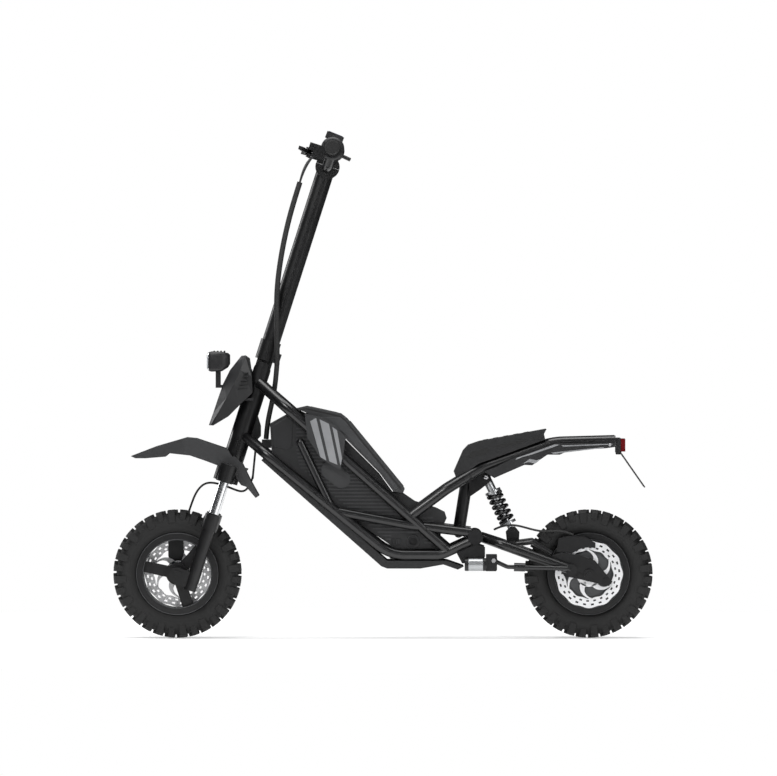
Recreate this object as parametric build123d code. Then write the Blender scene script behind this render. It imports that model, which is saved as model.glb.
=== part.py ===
from build123d import *
import os
from math import atan2, cos, hypot, pi, radians, sin, tan

# An off-road electric kick scooter. Millimetres, +Z up, front towards -X, its left side at -Y.
# The origin is on the ground, midway along the scooter's length and on its middle plane.

# ---- driving dimensions ----
AXLE_FRONT_X = -485.0
AXLE_REAR_X = 485.0
TYRE_R = 151.5
TYRE_HALF_W = 45.0
TREAD_HALF_W = 34.0
BEAD_R = 92.0
RIM_IN_R = 80.0
RIM_HALF_W = 31.0
FLANGE_R = 97.0
FLANGE_W = 4.0
HUB_R = 26.0
HUB_HALF_W = 38.0
SPOKES = 3
SPOKE_W = 26.0
SPOKE_DEPTH = 28.0
DISC_R = 80.0
DISC_T = 2.0
DISC_Y_FRONT = 39.0
DISC_Y_REAR = -57.0
CALIPER_SLOT = 5.0

STEER_TILT = 17.74
STEER_BASE_X = -487.9
HEAD_R = 24.5
HEAD_BORE = 17.0
HEAD_LOW = 436.0
HEAD_TOP = 631.0
BEARING_R = 20.5
BEARING_H = 8.0
STEERER_R = 14.3
CROWN_LOW = 386.0
CROWN_TOP = 428.0
LEG_Y = 75.0
LEG_X = -4.0
STANCHION_R = 11.0
STANCHION_LOW = 232.0
LEG_R = 14.5
COLLAR_R = 19.0
LEG_TOP = 304.5
COLLAR_LOW = 267.0
LEG_LOW = 118.0
FORK_TRAVEL = 60.0
AXLE_R = 6.0
AXLE_OFFSET = -43.4
AXLE_S = 145.2
LUG_R = 17.0
LUG_T = 18.0

FOLD_S = 662.0
EAR_R = 24.5
TONGUE_HALF = 13.5
FOLD_PIN_R = 5.0
STEM_LOW = 687.5
SLEEVE_TOP = 735.0
STEM_R = 21.0
STEM_WALL = 2.5
BAR_S = 1167.4
GRIP_S = 1210.0
BAR_X = 1.3
BAR_R = 12.7
BAR_HALF = 325.0
RISE_IN = 58.0
RISE_OUT = 98.0
RISE_BEND = 26.0
CLAMP_R = 28.6
CLAMP_HALF = 24.0
GRIP_R = 16.5
GRIP_IN = 205.0
PERCH_Y = 178.0
PERCH_HALF = 9.0
LEVER_X = -50.0
LEVER_S = 1186.0
LEVER_LEN = 125.0
LEVER_T = 9.0
POD_Y = 146.0
POD_HALF = 15.0

TUBE_Y = 82.0
TUBE_R = 12.7
LOWER_R = 11.8
MID_R = 11.0
SEAT_R = 12.0
POST_R = 14.5
RAIL_Y = 48.0
HEAD_JOIN_Y = 20.0
PIVOT_X = 217.4
PIVOT_Z = 239.5
BOSS_R = 18.0
BOSS_IN = 60.5
BOSS_OUT = TUBE_Y + 12.5
PIVOT_PIN_R = 7.0
CASE_HALF = TUBE_Y - 14.0
CASE_WALL = 3.0
COVER_HALF = TUBE_Y + 4.0
ARM_Y = 80.0
ARM_R = 11.5
PLATE_IN = 62.0
PLATE_T = 6.0
SHOCK_TOP = (242.6, 379.7)
SHOCK_LOW = (305.9, 248.5)
SHOCK_BODY_R = 10.5
SHOCK_ROD_R = 6.0
SPRING_OUT_R = 19.5
SPRING_WIRE = 7.5
SPRING_FROM = 42.0
SPRING_TO = 118.0
EYE_R = 12.0
EYE_HALF = 14.0
STAND_X = 260.0
STAND_Z = 185.0
STAND_Y = -99.0
STAND_LEG = 174.0
CABLE_R = 6.5
PLATE_PCD = 60.0
PLATE_HOLE_R = 2.5
HOSE_R = 2.5
FIT = 0.05
GAP = 0.4

BASE = (Align.CENTER, Align.CENTER, Align.MIN)
STEER = Pos(STEER_BASE_X, 0, 0) * Rot(0, STEER_TILT, 0)
sin_tilt = sin(radians(STEER_TILT))
cos_tilt = cos(radians(STEER_TILT))


# ---- helpers ----
def steer_point(x, y, s):
    """A world point from the steering frame: x rearwards, s up along the steering axis."""
    return Vector(STEER_BASE_X + x * cos_tilt + s * sin_tilt, y, s * cos_tilt - x * sin_tilt)


def rod(start, end, radius, bore=0.0):
    """A straight round bar or tube from one point to another."""
    start = Vector(start)
    end = Vector(end)
    plane = Plane(origin=start, z_dir=end - start)
    length = (end - start).length
    solid = plane * Cylinder(radius, length, align=BASE)
    if bore:
        solid = solid - plane * Cylinder(bore, length, align=BASE)
    return solid


def across(x, z, radius, y_from, y_to, bore=0.0):
    """A round bar or ring whose axis lies along Y."""
    return rod((x, y_from, z), (x, y_to, z), radius, bore)


def bent(points, radius, bends, bore=0.0):
    """A round tube along straight runs joined by tangent arcs."""
    path = FilletPolyline(*points, radius=bends)
    start = Plane(origin=path @ 0, z_dir=path % 0)
    solid = sweep(start * Circle(radius), path=path)
    if bore:
        solid = solid - sweep(start * Circle(bore), path=path)
    return solid


def plate(points, y_from, y_to):
    """A plate cut to an outline given as (x, z), between two Y values."""
    face = make_face(Plane.XZ * Polyline(*points, close=True))
    middle = (y_from + y_to) / 2
    return Pos(0, middle, 0) * extrude(face, amount=abs(y_to - y_from) / 2, both=True)


def box(x_from, x_to, y_from, y_to, z_from, z_to):
    size = Box(x_to - x_from, y_to - y_from, z_to - z_from)
    return Pos((x_from + x_to) / 2, (y_from + y_to) / 2, (z_from + z_to) / 2) * size


def steer_box(x_from, x_to, y_from, y_to, s_from, s_to):
    return STEER * box(x_from, x_to, y_from, y_to, s_from, s_to)


def steer_rod(x, y, s_from, s_to, radius, bore=0.0):
    return rod(steer_point(x, y, s_from), steer_point(x, y, s_to), radius, bore)


def both_sides(shape):
    """The shape and its mirror image in the scooter's middle plane."""
    return [shape, mirror(shape, about=Plane.XZ)]


def cut(shapes, tools):
    """Each shape with every tool taken away from it."""
    done = []
    for shape in shapes:
        for tool in tools:
            shape = shape - tool
        done.append(shape)
    return done


def join(shapes):
    whole = shapes[0]
    for shape in shapes[1:]:
        whole = whole + shape
    return whole


def cord_radii(points, share=0.45):
    """The largest arcs that a cord's runs leave room for."""
    spots = [Vector(p) for p in points]
    radii = []
    for before, here, after in zip(spots, spots[1:], spots[2:]):
        turn = radians((here - before).get_angle(after - here))
        shorter = min((here - before).length, (after - here).length)
        radii.append(share * shorter / tan(turn / 2))
    return radii


def cord(name, points, radius):
    radii = cord_radii(points)
    print(name, "arc radii:", [round(r) for r in radii])
    return bent(points, radius, radii)


def keep(name, shapes):
    """Write one node's solids to its STEP file."""
    solids = []
    for shape in shapes:
        solids.extend(shape.solids())
    whole = solids[0] if len(solids) == 1 else Compound(solids)
    export_step(whole, "parts/" + name + ".step")


os.makedirs("parts", exist_ok=True)


# ---- main frame ----
head_tube = steer_rod(0, 0, HEAD_LOW, HEAD_TOP, HEAD_R, HEAD_BORE)
head_tube -= steer_rod(0, 0, HEAD_LOW, HEAD_LOW + BEARING_H, BEARING_R)
head_tube -= steer_rod(0, 0, HEAD_TOP - BEARING_H, HEAD_TOP, BEARING_R)
head_core = steer_rod(0, 0, HEAD_LOW, HEAD_TOP, HEAD_R)


def on_line(x, start, end):
    """Z of the straight line through two (x, z) points at a given x."""
    return start[1] + (x - start[0]) * (end[1] - start[1]) / (end[0] - start[0])


UPPER_START = (-291.0, 601.0)
UPPER_END = (152.0, 209.0)
FLARE_X = -228.0
upper_path = [
    (UPPER_START[0], -HEAD_JOIN_Y, UPPER_START[1]),
    (FLARE_X, -TUBE_Y, on_line(FLARE_X, UPPER_START, UPPER_END)),
    (UPPER_END[0], -TUBE_Y, UPPER_END[1]),
]
LOWER_START = (-322.0, 472.6)
LOWER_SLOPE = (-65.0, 264.0)
BOTTOM_Z = 198.0
lower_flare_x = -276.0
bottom_corner_x = -65.0 + (LOWER_SLOPE[1] - BOTTOM_Z) / 0.8118
lower_path = [
    (LOWER_START[0], -HEAD_JOIN_Y, LOWER_START[1]),
    (lower_flare_x, -TUBE_Y, on_line(lower_flare_x, LOWER_START, LOWER_SLOPE)),
    (bottom_corner_x, -TUBE_Y, BOTTOM_Z),
    (137.0, -TUBE_Y, BOTTOM_Z),
    (PIVOT_X - 10, -TUBE_Y, PIVOT_Z - 9),
]
boss = across(PIVOT_X, PIVOT_Z, BOSS_R, -BOSS_OUT, -BOSS_IN)
upper_tube = bent(upper_path, TUBE_R, [55])
lower_tube = bent(lower_path, LOWER_R, [45, 100, 60])
lower_tube = lower_tube - boss
collar_sweep = steer_rod(0, 0, HEAD_TOP - 1, HEAD_TOP + 80, EAR_R + 1.5)
upper_tube = upper_tube - head_core - collar_sweep - lower_tube
upper_tube = max(upper_tube.solids(), key=lambda s: s.volume)
lower_tube = max(cut([lower_tube], [head_core])[0].solids(), key=lambda s: s.volume)

mid_tube = bent([(-111, -TUBE_Y, 300), (60, -TUBE_Y, 268), (207, -TUBE_Y, 250)], MID_R, [120])
mid_tube = max(cut([mid_tube], [boss, lower_tube])[0].solids(), key=lambda s: s.volume)
mid_pieces = (mid_tube - upper_tube).solids()
strut_top = (-194.0, 462.0)
strut_low = (-122.0, 312.0)
strut = rod((strut_top[0], -TUBE_Y, strut_top[1]), (strut_low[0], -TUBE_Y, strut_low[1]), 9.5)
strut_arm = rod((strut_top[0], -TUBE_Y, strut_top[1]), (strut_top[0], -CASE_HALF - GAP, strut_top[1]), 9.5)
strut = (strut + strut_arm + Pos(strut_top[0], -TUBE_Y, strut_top[1]) * Sphere(9.5)) - lower_tube
strut = max(strut.solids(), key=lambda s: s.volume)

head_gusset = plate([(-316, 546), (-302, 546), (-288, 500), (-288, 476), (-300, 464), (-326, 470)], -9, 9)
for tool in [head_core] + both_sides(lower_tube):
    head_gusset = head_gusset - tool
head_gusset = max(head_gusset.solids(), key=lambda s: s.volume)

cross_specs = [(24.0, BOTTOM_Z, 11.0), (130.0, BOTTOM_Z, 11.0)]
cross_tubes = []
for cross_x, cross_z, cross_r in cross_specs:
    cross = across(cross_x, cross_z, cross_r, -TUBE_Y, TUBE_Y)
    cross = cross - lower_tube - mirror(lower_tube, about=Plane.XZ)
    cross_tubes.append(max(cross.solids(), key=lambda s: s.volume))

seat_path = [
    (66, -TUBE_Y, 290),
    (150, -TUBE_Y + 6, 352),
    (236, -RAIL_Y, 404),
    (400, -RAIL_Y, 462),
    (548, -RAIL_Y, 466),
]
seat_tube = bent(seat_path, SEAT_R, [60, 70, 160])
seat_tube = max((seat_tube - upper_tube).solids(), key=lambda s: s.volume)
post = rod((180, 0, 258), (197, 0, 366), POST_R)
post_cross = across(197, 378, 12, -70, 70) - seat_tube - mirror(seat_tube, about=Plane.XZ)
post_cross = max(post_cross.solids(), key=lambda s: s.volume)
post = max((post - post_cross).solids(), key=lambda s: s.volume)
low_cross = across(178, 249, 11, -TUBE_Y, TUBE_Y)
for tool in both_sides(join(list(mid_pieces))):
    low_cross = low_cross - tool
low_cross = max(low_cross.solids(), key=lambda s: s.volume)
post = max((post - low_cross).solids(), key=lambda s: s.volume)
tail_cross = across(536, 466, 8, -RAIL_Y, RAIL_Y)
tail_cross = tail_cross - seat_tube - mirror(seat_tube, about=Plane.XZ)
tail_cross = max(tail_cross.solids(), key=lambda s: s.volume)

shock_ear = plate([(200, 384), (206, 334), (232, 352), (256, 372), (252, 394), (226, 398)], 16.5, 21.5)
shock_ear -= across(SHOCK_TOP[0], SHOCK_TOP[1], 5.0 + FIT, 10, 30)
shock_ears = []
for ear in both_sides(shock_ear):
    ear = ear - post_cross - post - seat_tube - mirror(seat_tube, about=Plane.XZ)
    shock_ears.append(max(ear.solids(), key=lambda s: s.volume))

boss_gusset = plate([(168, 212), (206, 228), (240, 216), (240, 194), (232, 178), (186, 178)], -TUBE_Y - 3, -TUBE_Y + 3)
boss_gusset = boss_gusset - boss - lower_tube - upper_tube
boss_gusset = max(boss_gusset.solids(), key=lambda s: s.volume)

boss_bored = boss - across(PIVOT_X, PIVOT_Z, PIVOT_PIN_R + FIT, -BOSS_OUT, -BOSS_IN)
keep("head_tube", [head_tube])
keep("upper_frame_tubes", both_sides(upper_tube))
keep("lower_frame_tubes", both_sides(lower_tube))
keep("middle_frame_tubes", both_sides(Compound(list(mid_pieces))) + both_sides(strut))
keep("seat_frame_tubes", both_sides(seat_tube))
keep("cross_tubes", cross_tubes + [post, post_cross, low_cross, tail_cross])
keep("frame_brackets", shock_ears + both_sides(boss_bored) + both_sides(boss_gusset) + [head_gusset])
pivot_pin = across(PIVOT_X, PIVOT_Z, PIVOT_PIN_R, -BOSS_OUT, BOSS_OUT)
pivot_cap = across(PIVOT_X, PIVOT_Z, BOSS_R - 1, -BOSS_OUT - 4, -BOSS_OUT)
shock_top_pin = across(SHOCK_TOP[0], SHOCK_TOP[1], 5.0, -24, 24)
stand_bolt = across(STAND_X, STAND_Z, 4, STAND_Y - 14, STAND_Y + 14)
keep("frame_pins", [pivot_pin, shock_top_pin, stand_bolt] + both_sides(pivot_cap))
bearing_ring = BEARING_R - 0.02
headset = [
    steer_rod(0, 0, HEAD_LOW, HEAD_LOW + BEARING_H, bearing_ring, STEERER_R + FIT),
    steer_rod(0, 0, HEAD_TOP - BEARING_H, HEAD_TOP, bearing_ring, STEERER_R + FIT),
]
keep("headset_bearings", headset)

# ---- belly pan ----
pan_outer = [(-286, 420), (-4, 171), (10, 165.5), (88, 165.5), (142, 175), (176, 163), (190, 170), (150, 184), (10, 184), (-276, 432)]
pan_inner = [(-292, 432), (-4, 178), (10, 171), (88, 170), (142, 180), (176, 168), (200, 176), (150, 200), (12, 200), (-270, 452)]
belly_pan = plate(pan_outer, -TUBE_Y, TUBE_Y) - plate(pan_inner, -TUBE_Y + 4, TUBE_Y - 4)
belly_pan = max(belly_pan.solids(), key=lambda s: s.volume)
for tool in both_sides(lower_tube) + both_sides(boss_gusset):
    belly_pan = belly_pan - tool
belly_pan = max(belly_pan.solids(), key=lambda s: s.volume)
keep("belly_pan", [belly_pan])

# ---- battery ----
case_outline = [
    (-266, 506), (-205, 540), (-180, 528), (-96, 474), (-9, 387), (22, 344), (46, 342), (75, 322),
    (126, 306), (146, 296), (150, 284), (140, 262), (128, 212), (30, 212), (-52, 268), (-216, 402), (-262, 438),
]
case_outer = plate(case_outline, -CASE_HALF, CASE_HALF)
case_face = make_face(Plane.XZ * Polyline(*case_outline, close=True))
case_inner = extrude(offset(case_face, -CASE_WALL), amount=CASE_HALF - CASE_WALL, both=True)
case_shell = case_outer - case_inner
for tool in both_sides(seat_tube):
    case_shell = case_shell - tool
port_x = 71.0
port_z = 229.0
PORT_R = 9.5
SWITCH_X = 38.0
port_hole = across(port_x, port_z, PORT_R + 2, -CASE_HALF - 1, -CASE_HALF + CASE_WALL + 1)
switch_hole = box(SWITCH_X - 4.2, SWITCH_X + 4.2, -CASE_HALF - 1, -CASE_HALF + CASE_WALL + 1, port_z - 7.2, port_z + 7.2)
plug_body = box(-286, -264, -9, 9, 448, 468) - case_outer
case_shell = case_shell - port_hole - switch_hole
case_left = case_shell - box(-400, 400, 0, 100, 100, 700)
case_right = case_shell - box(-400, 400, -100, 0.2, 100, 700)
case_left = max(case_left.solids(), key=lambda s: s.volume)
case_right = max(case_right.solids(), key=lambda s: s.volume)
harness_plug = max(plug_body.solids(), key=lambda s: s.volume)
keep("battery_case", [case_left, case_right, harness_plug])
CELL_OFFSET = CASE_WALL + 0.3
pack_outline = [(-230, 440), (-180, 500), (-100, 452), (-14, 366), (40, 300), (60, 262), (-30, 262), (-205, 405)]
battery_pack = plate(pack_outline, -CASE_HALF + CELL_OFFSET, CASE_HALF - CELL_OFFSET)
controller = box(40, 118, -50, 50, 212 + CELL_OFFSET, 250)
keep("battery_and_controller", [battery_pack, controller])
port_ring = across(port_x, port_z, PORT_R + 2 - FIT, -CASE_HALF - 1.5, -CASE_HALF + 12, PORT_R)
port_floor = across(port_x, port_z, PORT_R, -CASE_HALF + 10, -CASE_HALF + 12)
port_pin = across(port_x, port_z, 1.5, -CASE_HALF + 3, -CASE_HALF + 11)
keep("charge_port", [port_ring + port_floor + port_pin])
keep("power_button", [box(SWITCH_X - 4, SWITCH_X + 4, -CASE_HALF - 2.5, -CASE_HALF + 4, port_z - 7, port_z + 7)])

cover_outline = [(-204, 541.5), (-180, 547), (-99, 529), (-84, 517), (51, 352), (47, 343), (24, 347), (-8, 390.5), (-95, 478), (-180, 532)]
top_cover = plate(cover_outline, -COVER_HALF, COVER_HALF)
cover_face = make_face(Plane.XZ * Polyline(*cover_outline, close=True))
for tool in [rod(upper_path[0], upper_path[1], TUBE_R + GAP), bent(upper_path, TUBE_R + GAP, [55])]:
    for side_tool in both_sides(tool):
        top_cover = top_cover - side_tool
top_cover = max(top_cover.solids(), key=lambda s: s.volume)
top_cover = top_cover - seat_tube - mirror(seat_tube, about=Plane.XZ) - case_outer
top_cover = max(top_cover.solids(), key=lambda s: s.volume)
top_cover = top_cover - extrude(offset(cover_face, -CASE_WALL), amount=COVER_HALF - CASE_WALL, both=True)
keep("battery_top_cover", [max(top_cover.solids(), key=lambda s: s.volume)])

panel_outline = [(-184, 530), (-178, 474), (-146, 424), (-100, 398), (-92, 440), (-88, 474), (-110, 500), (-146, 523)]
PANEL_IN = TUBE_Y + TUBE_R + 0.5
panel = plate(panel_outline, -PANEL_IN - 3, -PANEL_IN)
panel_boss_low = across(-128, 420, 6, -PANEL_IN, -CASE_HALF)
panel_seat_up = across(-124, 494, 6, -PANEL_IN, -COVER_HALF)
panel = panel + panel_boss_low + panel_seat_up
pad_plane = Plane(origin=(-111, -CASE_HALF, 386), x_dir=(0.78, 0, -0.626), z_dir=(0, -1, 0))
pad = extrude(pad_plane * SlotOverall(76, 42), amount=5)
pad = pad - panel_boss_low
pad = max(pad.solids(), key=lambda s: s.volume)
keep("side_panels", both_sides(panel) + both_sides(pad))

# ---- seat cowl, tail fairings, tail light ----
cowl_outline = [(167, 392), (189, 442), (201, 455), (227, 464), (385, 493), (379, 482), (382, 469), (279, 431), (225, 412), (195, 390), (174, 374)]
COWL_HALF = 64.0
cowl = plate(cowl_outline, -COWL_HALF, COWL_HALF)
cowl_face = make_face(Plane.XZ * Polyline(*cowl_outline, close=True))
cowl = cowl - extrude(offset(cowl_face, -3.0), amount=COWL_HALF - 3, both=True)
clear_seat = bent(seat_path, SEAT_R + GAP, [60, 70, 160])
for tool in both_sides(clear_seat) + [across(197, 378, 12 + GAP, -90, 90)]:
    cowl = cowl - tool
cowl = max(cowl.solids(), key=lambda s: s.volume)
keep("seat_cowl", [cowl])
fairing_outline = [
    (240, 392), (262, 378), (333, 409), (351, 408), (387, 433), (416, 433), (438, 443), (524, 448),
    (546, 451), (546, 462), (405, 460), (304, 424),
]
FAIRING_IN = RAIL_Y + SEAT_R + GAP
fairing = plate(fairing_outline, -FAIRING_IN - 3, -FAIRING_IN) - cowl
fairing = max(fairing.solids(), key=lambda s: s.volume)
fairing_seat = across(430, 448, 5, -FAIRING_IN, -RAIL_Y) - seat_tube
fairing = fairing + max(fairing_seat.solids(), key=lambda s: s.volume)
keep("tail_fairings", both_sides(fairing))
LIGHT_HALF = 44.0
light_housing = box(549, 560, -LIGHT_HALF, LIGHT_HALF, 437, 472)
light_housing += box(560, 562, -LIGHT_HALF, LIGHT_HALF, 435, 440)
keep("tail_light_lens", [box(560, 571, -LIGHT_HALF + 2, LIGHT_HALF - 2, 440, 470)])
plate_start = (562.0, 435.0)
plate_end = (617.0, 356.0)
plate_tilt = atan2(plate_end[1] - plate_start[1], plate_end[0] - plate_start[0])
plate_normal = (-sin(plate_tilt) * 1.2, cos(plate_tilt) * 1.2)
holder_outline = [
    (plate_start[0] - plate_normal[0], plate_start[1] - plate_normal[1]),
    (plate_end[0] - plate_normal[0], plate_end[1] - plate_normal[1]),
    (plate_end[0] + plate_normal[0], plate_end[1] + plate_normal[1]),
    (plate_start[0] + plate_normal[0], plate_start[1] + plate_normal[1]),
]
plate_holder = plate(holder_outline, -60, 60)
plate_mid = ((plate_start[0] + plate_end[0]) / 2, (plate_start[1] + plate_end[1]) / 2)
along = PLATE_PCD / 2 * sin(pi / 4)
for side in (-1, 1):
    for way in (-1, 1):
        hole_x = plate_mid[0] + way * along * cos(plate_tilt)
        hole_z = plate_mid[1] + way * along * sin(plate_tilt)
        low = (hole_x + 5 * sin(plate_tilt), side * along, hole_z - 5 * cos(plate_tilt))
        high = (hole_x - 5 * sin(plate_tilt), side * along, hole_z + 5 * cos(plate_tilt))
        plate_holder = plate_holder - rod(low, high, PLATE_HOLE_R)
plate_holder = plate_holder + box(550, 562, -30, 30, 433, 437) - light_housing
keep("tail_light_housing", [light_housing, plate_holder])

# ---- front mask and headlight ----
mask_outline = [
    (-405, 500), (-414, 504), (-399, 534), (-382, 593), (-367, 633), (-353, 652), (-327, 670), (-317, 664),
    (-309, 647), (-304, 578), (-315, 576), (-342, 551), (-370, 519), (-399, 509),
]
mask_void = [(-409, 503), (-395, 534), (-378, 593), (-363, 632), (-350, 648), (-326, 666), (-280, 690), (-280, 540), (-330, 520), (-380, 480)]
MASK_HALF = 44.0
mask = plate(mask_outline, -MASK_HALF, MASK_HALF) - plate(mask_void, -MASK_HALF + 3, MASK_HALF - 3)
bracket_core = (box(-395, -300, -9, 9, 590, 597) - head_core).solids().sort_by(Axis.X)[0]
mask = mask - box(-400, -330, -9 - GAP, 9 + GAP, 590 - GAP, 597 + GAP)
mask_stay = box(-362, -306, -MASK_HALF + 2, MASK_HALF - 2, 560, 566) - steer_rod(0, 0, HEAD_LOW, HEAD_TOP, HEAD_R)
mask = mask + mask_stay
keep("front_mask", [max(mask.solids(), key=lambda s: s.volume)])
TILT_X = -389.0
TILT_Z = 630.0
ear_half = 4.3
bracket = bracket_core + box(-395, -383, -9, 9, 597, 616)
for side in (-1, 1):
    low = min(side * ear_half, side * (ear_half + 4))
    bracket += box(-395, -383, low, low + 4, 616, TILT_Z)
    bracket += across(TILT_X, TILT_Z, 6, low, low + 4)
bracket -= across(TILT_X, TILT_Z, 2.5, -20, 20)
headlight_pin = across(TILT_X, TILT_Z, 2.5 - FIT, -ear_half - 5, ear_half + 5)
keep("headlight_bracket", [bracket, headlight_pin])
HL = (-410.0, -362.0, 32.0, 642.0, 680.0)
housing = box(HL[0], HL[1], -HL[2], HL[2], HL[3], HL[4])
housing = chamfer(housing.edges().filter_by(Axis.X), 6)
housing -= Pos(HL[1], 0, HL[3]) * Rot(0, 45, 0) * Box(12, 100, 12)
housing -= box(HL[0], HL[0] + 30, -HL[2] + 4, HL[2] - 4, HL[3] + 4, HL[4] - 4)
lug = box(TILT_X - 6, TILT_X + 6, -4, 4, TILT_Z, HL[3]) + across(TILT_X, TILT_Z, 6, -4, 4)
housing = housing + lug - across(TILT_X, TILT_Z, 2.5, -20, 20)
keep("headlight_housing", [max(housing.solids(), key=lambda s: s.volume)])
reflector = box(HL[0] + 4, HL[0] + 29.7, -HL[2] + 4.3, HL[2] - 4.3, HL[3] + 4.3, HL[4] - 4.3)
lamp_z = (HL[3] + HL[4]) / 2
reflector -= rod((HL[0], 0, lamp_z), (HL[0] + 18, 0, lamp_z), 12)
lens = box(HL[0] - 3, HL[0] + 2, -HL[2] + 4.2, HL[2] - 4.2, HL[3] + 4.2, HL[4] - 4.2)
keep("headlight_lens", [lens, reflector])

# ---- steering: steerer, crown, stanchions, fender, fold base ----
crown_outline = Circle(27) + Pos(-8, 0) * Circle(24)
for side in (-1, 1):
    crown_outline += Pos(LEG_X, side * LEG_Y) * Circle(20)
crown_outline += Pos(LEG_X, 0) * Rectangle(34, 2 * LEG_Y)
crown = STEER * (Pos(0, 0, CROWN_LOW) * extrude(crown_outline, amount=CROWN_TOP - CROWN_LOW))
crown -= steer_rod(0, 0, CROWN_LOW, CROWN_TOP, STEERER_R)
stanchions = []
for side in (-1, 1):
    crown -= steer_rod(LEG_X, side * LEG_Y, CROWN_LOW, CROWN_TOP, STANCHION_R)
    stanchions.append(steer_rod(LEG_X, side * LEG_Y, STANCHION_LOW, CROWN_TOP, STANCHION_R))
keep("fork_stanchions", stanchions)
base_low = HEAD_TOP + GAP
steerer = steer_rod(0, 0, CROWN_LOW, base_low, STEERER_R, STEERER_R - 3)
crown_bolts = []
for side in (-1, 1):
    for bolt_s in (CROWN_LOW + 10, CROWN_TOP - 10):
        head = rod(steer_point(16.2, side * (LEG_Y + 4), bolt_s), steer_point(21, side * (LEG_Y + 4), bolt_s), 4.5)
        crown_bolts.append(head - crown)
keep("fork_crown", [crown, steerer] + crown_bolts)
fold_base = steer_rod(0, 0, base_low, FOLD_S - EAR_R + 8, EAR_R)
fold_ear_block = steer_box(-EAR_R, EAR_R, -EAR_R, EAR_R, base_low, FOLD_S)
fold_ear_block &= steer_rod(0, 0, base_low, FOLD_S + 40, EAR_R)
pin_at = steer_point(0, 0, FOLD_S)
ear_round = across(pin_at.X, pin_at.Z, EAR_R - 4, -EAR_R, EAR_R) & steer_rod(0, 0, base_low, FOLD_S + 40, EAR_R)
fold_base = fold_base + fold_ear_block + ear_round
fold_slot = across(pin_at.X, pin_at.Z, EAR_R - 2, -TONGUE_HALF - 0.3, TONGUE_HALF + 0.3)
fold_slot += steer_box(-40, 40, -TONGUE_HALF - 0.3, TONGUE_HALF + 0.3, FOLD_S - 4, FOLD_S + 40)
fold_slot += steer_box(0, 40, -TONGUE_HALF - 0.3, TONGUE_HALF + 0.3, FOLD_S - EAR_R + 2, FOLD_S + 40)
fold_base = fold_base - fold_slot - across(pin_at.X, pin_at.Z, FOLD_PIN_R + FIT, -40, 40)
fold_base = max(fold_base.solids(), key=lambda s: s.volume)
keep("fold_base", [fold_base, across(pin_at.X, pin_at.Z, FOLD_PIN_R, -EAR_R + 1, EAR_R - 1)])

fender_top = [(-595, 429), (-535, 452), (-463, 473), (-440, 471), (-366, 446), (-352, 424)]
fender_low = [(-352, 417), (-380, 404), (-420, 419), (-455, 431), (-503, 436), (-512, 428), (-560, 424), (-584, 424)]
FENDER_HALF = 52.0
HOSE_SLOT_IN = 6.0
HOSE_SLOT_OUT = 26.0
fender_void = [
    (-610, 420), (-590, 426), (-535, 448.5), (-463, 469.5), (-441, 467.5), (-369, 442), (-340, 430),
    (-340, 380), (-610, 380),
]


def fender_plan(half, back, nose):
    """The fender's plan outline, narrowing towards its nose, as a tall block."""
    corners = [(-320, -half), (back, -half), (-600, -nose), (-600, nose), (back, half), (-320, half)]
    face = make_face(Polyline(*[(x, y, 300) for x, y in corners], close=True))
    return extrude(face, amount=300)


fender_outer = plate(fender_top + fender_low, -80, 80) & fender_plan(FENDER_HALF, -470, 24)
fender_inner = plate(fender_void, -80, 80) & fender_plan(FENDER_HALF - 3, -471, 21)
fender = fender_outer - fender_inner
fender = max(fender.solids(), key=lambda s: s.volume)
tail_outline = [(-362, 424), (-350, 430), (-331, 411), (-311, 370), (-292, 336), (-300, 331), (-322, 357), (-334, 361), (-341, 370), (-358, 405)]
fender_tail = plate(tail_outline, FENDER_HALF - 3, FENDER_HALF)
fender_mount = steer_box(-34, 40, -FENDER_HALF, FENDER_HALF, CROWN_TOP, CROWN_TOP + 3)
fender_all = fender + fender_mount
for tail in both_sides(fender_tail):
    fender_all = fender_all + tail
tail_bridge = plate([(-322, 357), (-300, 331), (-292, 336), (-311, 370)], -FENDER_HALF, FENDER_HALF)
hose_slot = plate([(-340, 320), (-280, 320), (-280, 385), (-340, 385)], HOSE_SLOT_IN, HOSE_SLOT_OUT)
tail_bridge = tail_bridge - hose_slot
fender_all = fender_all + tail_bridge
fender_all = fender_all - steer_rod(0, 0, CROWN_TOP - 10, HEAD_TOP, HEAD_R + 1.5)
fender_all = fender_all + (steer_rod(0, 0, CROWN_TOP, CROWN_TOP + 3, HEAD_R + 3, STEERER_R + GAP))
fender_all = fender_all - crown
keep("front_fender", [max(fender_all.solids(), key=lambda s: s.volume)])

# ---- stem, handlebar and controls ----
stem_top = BAR_S - 10
stem = steer_rod(0, 0, STEM_LOW, SLEEVE_TOP, HEAD_R) + steer_rod(0, 0, SLEEVE_TOP, stem_top, STEM_R)
clamp_at = steer_point(BAR_X, 0, BAR_S)
clamp_ring = across(clamp_at.X, clamp_at.Z, CLAMP_R, -CLAMP_HALF, CLAMP_HALF)
split_half = steer_box(-60, 60, -60, 60, BAR_S + 1, BAR_S + 80)
tongue = steer_box(-EAR_R + 6, EAR_R - 6, -TONGUE_HALF, TONGUE_HALF, FOLD_S, STEM_LOW)
tongue += across(pin_at.X, pin_at.Z, EAR_R - 6, -TONGUE_HALF, TONGUE_HALF)
stem = stem + tongue - across(pin_at.X, pin_at.Z, FOLD_PIN_R + FIT, -40, 40)
stem -= steer_rod(0, 0, STEM_LOW + 12, BAR_S, STEM_R - STEM_WALL)
bar_bore = across(clamp_at.X, clamp_at.Z, BAR_R + 0.02, -CLAMP_HALF - 1, CLAMP_HALF + 1)
stem = stem + (clamp_ring - split_half) - bar_bore
clamp_cap = clamp_ring - steer_box(-60, 60, -60, 60, BAR_S - 80, BAR_S + 2) - bar_bore
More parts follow.
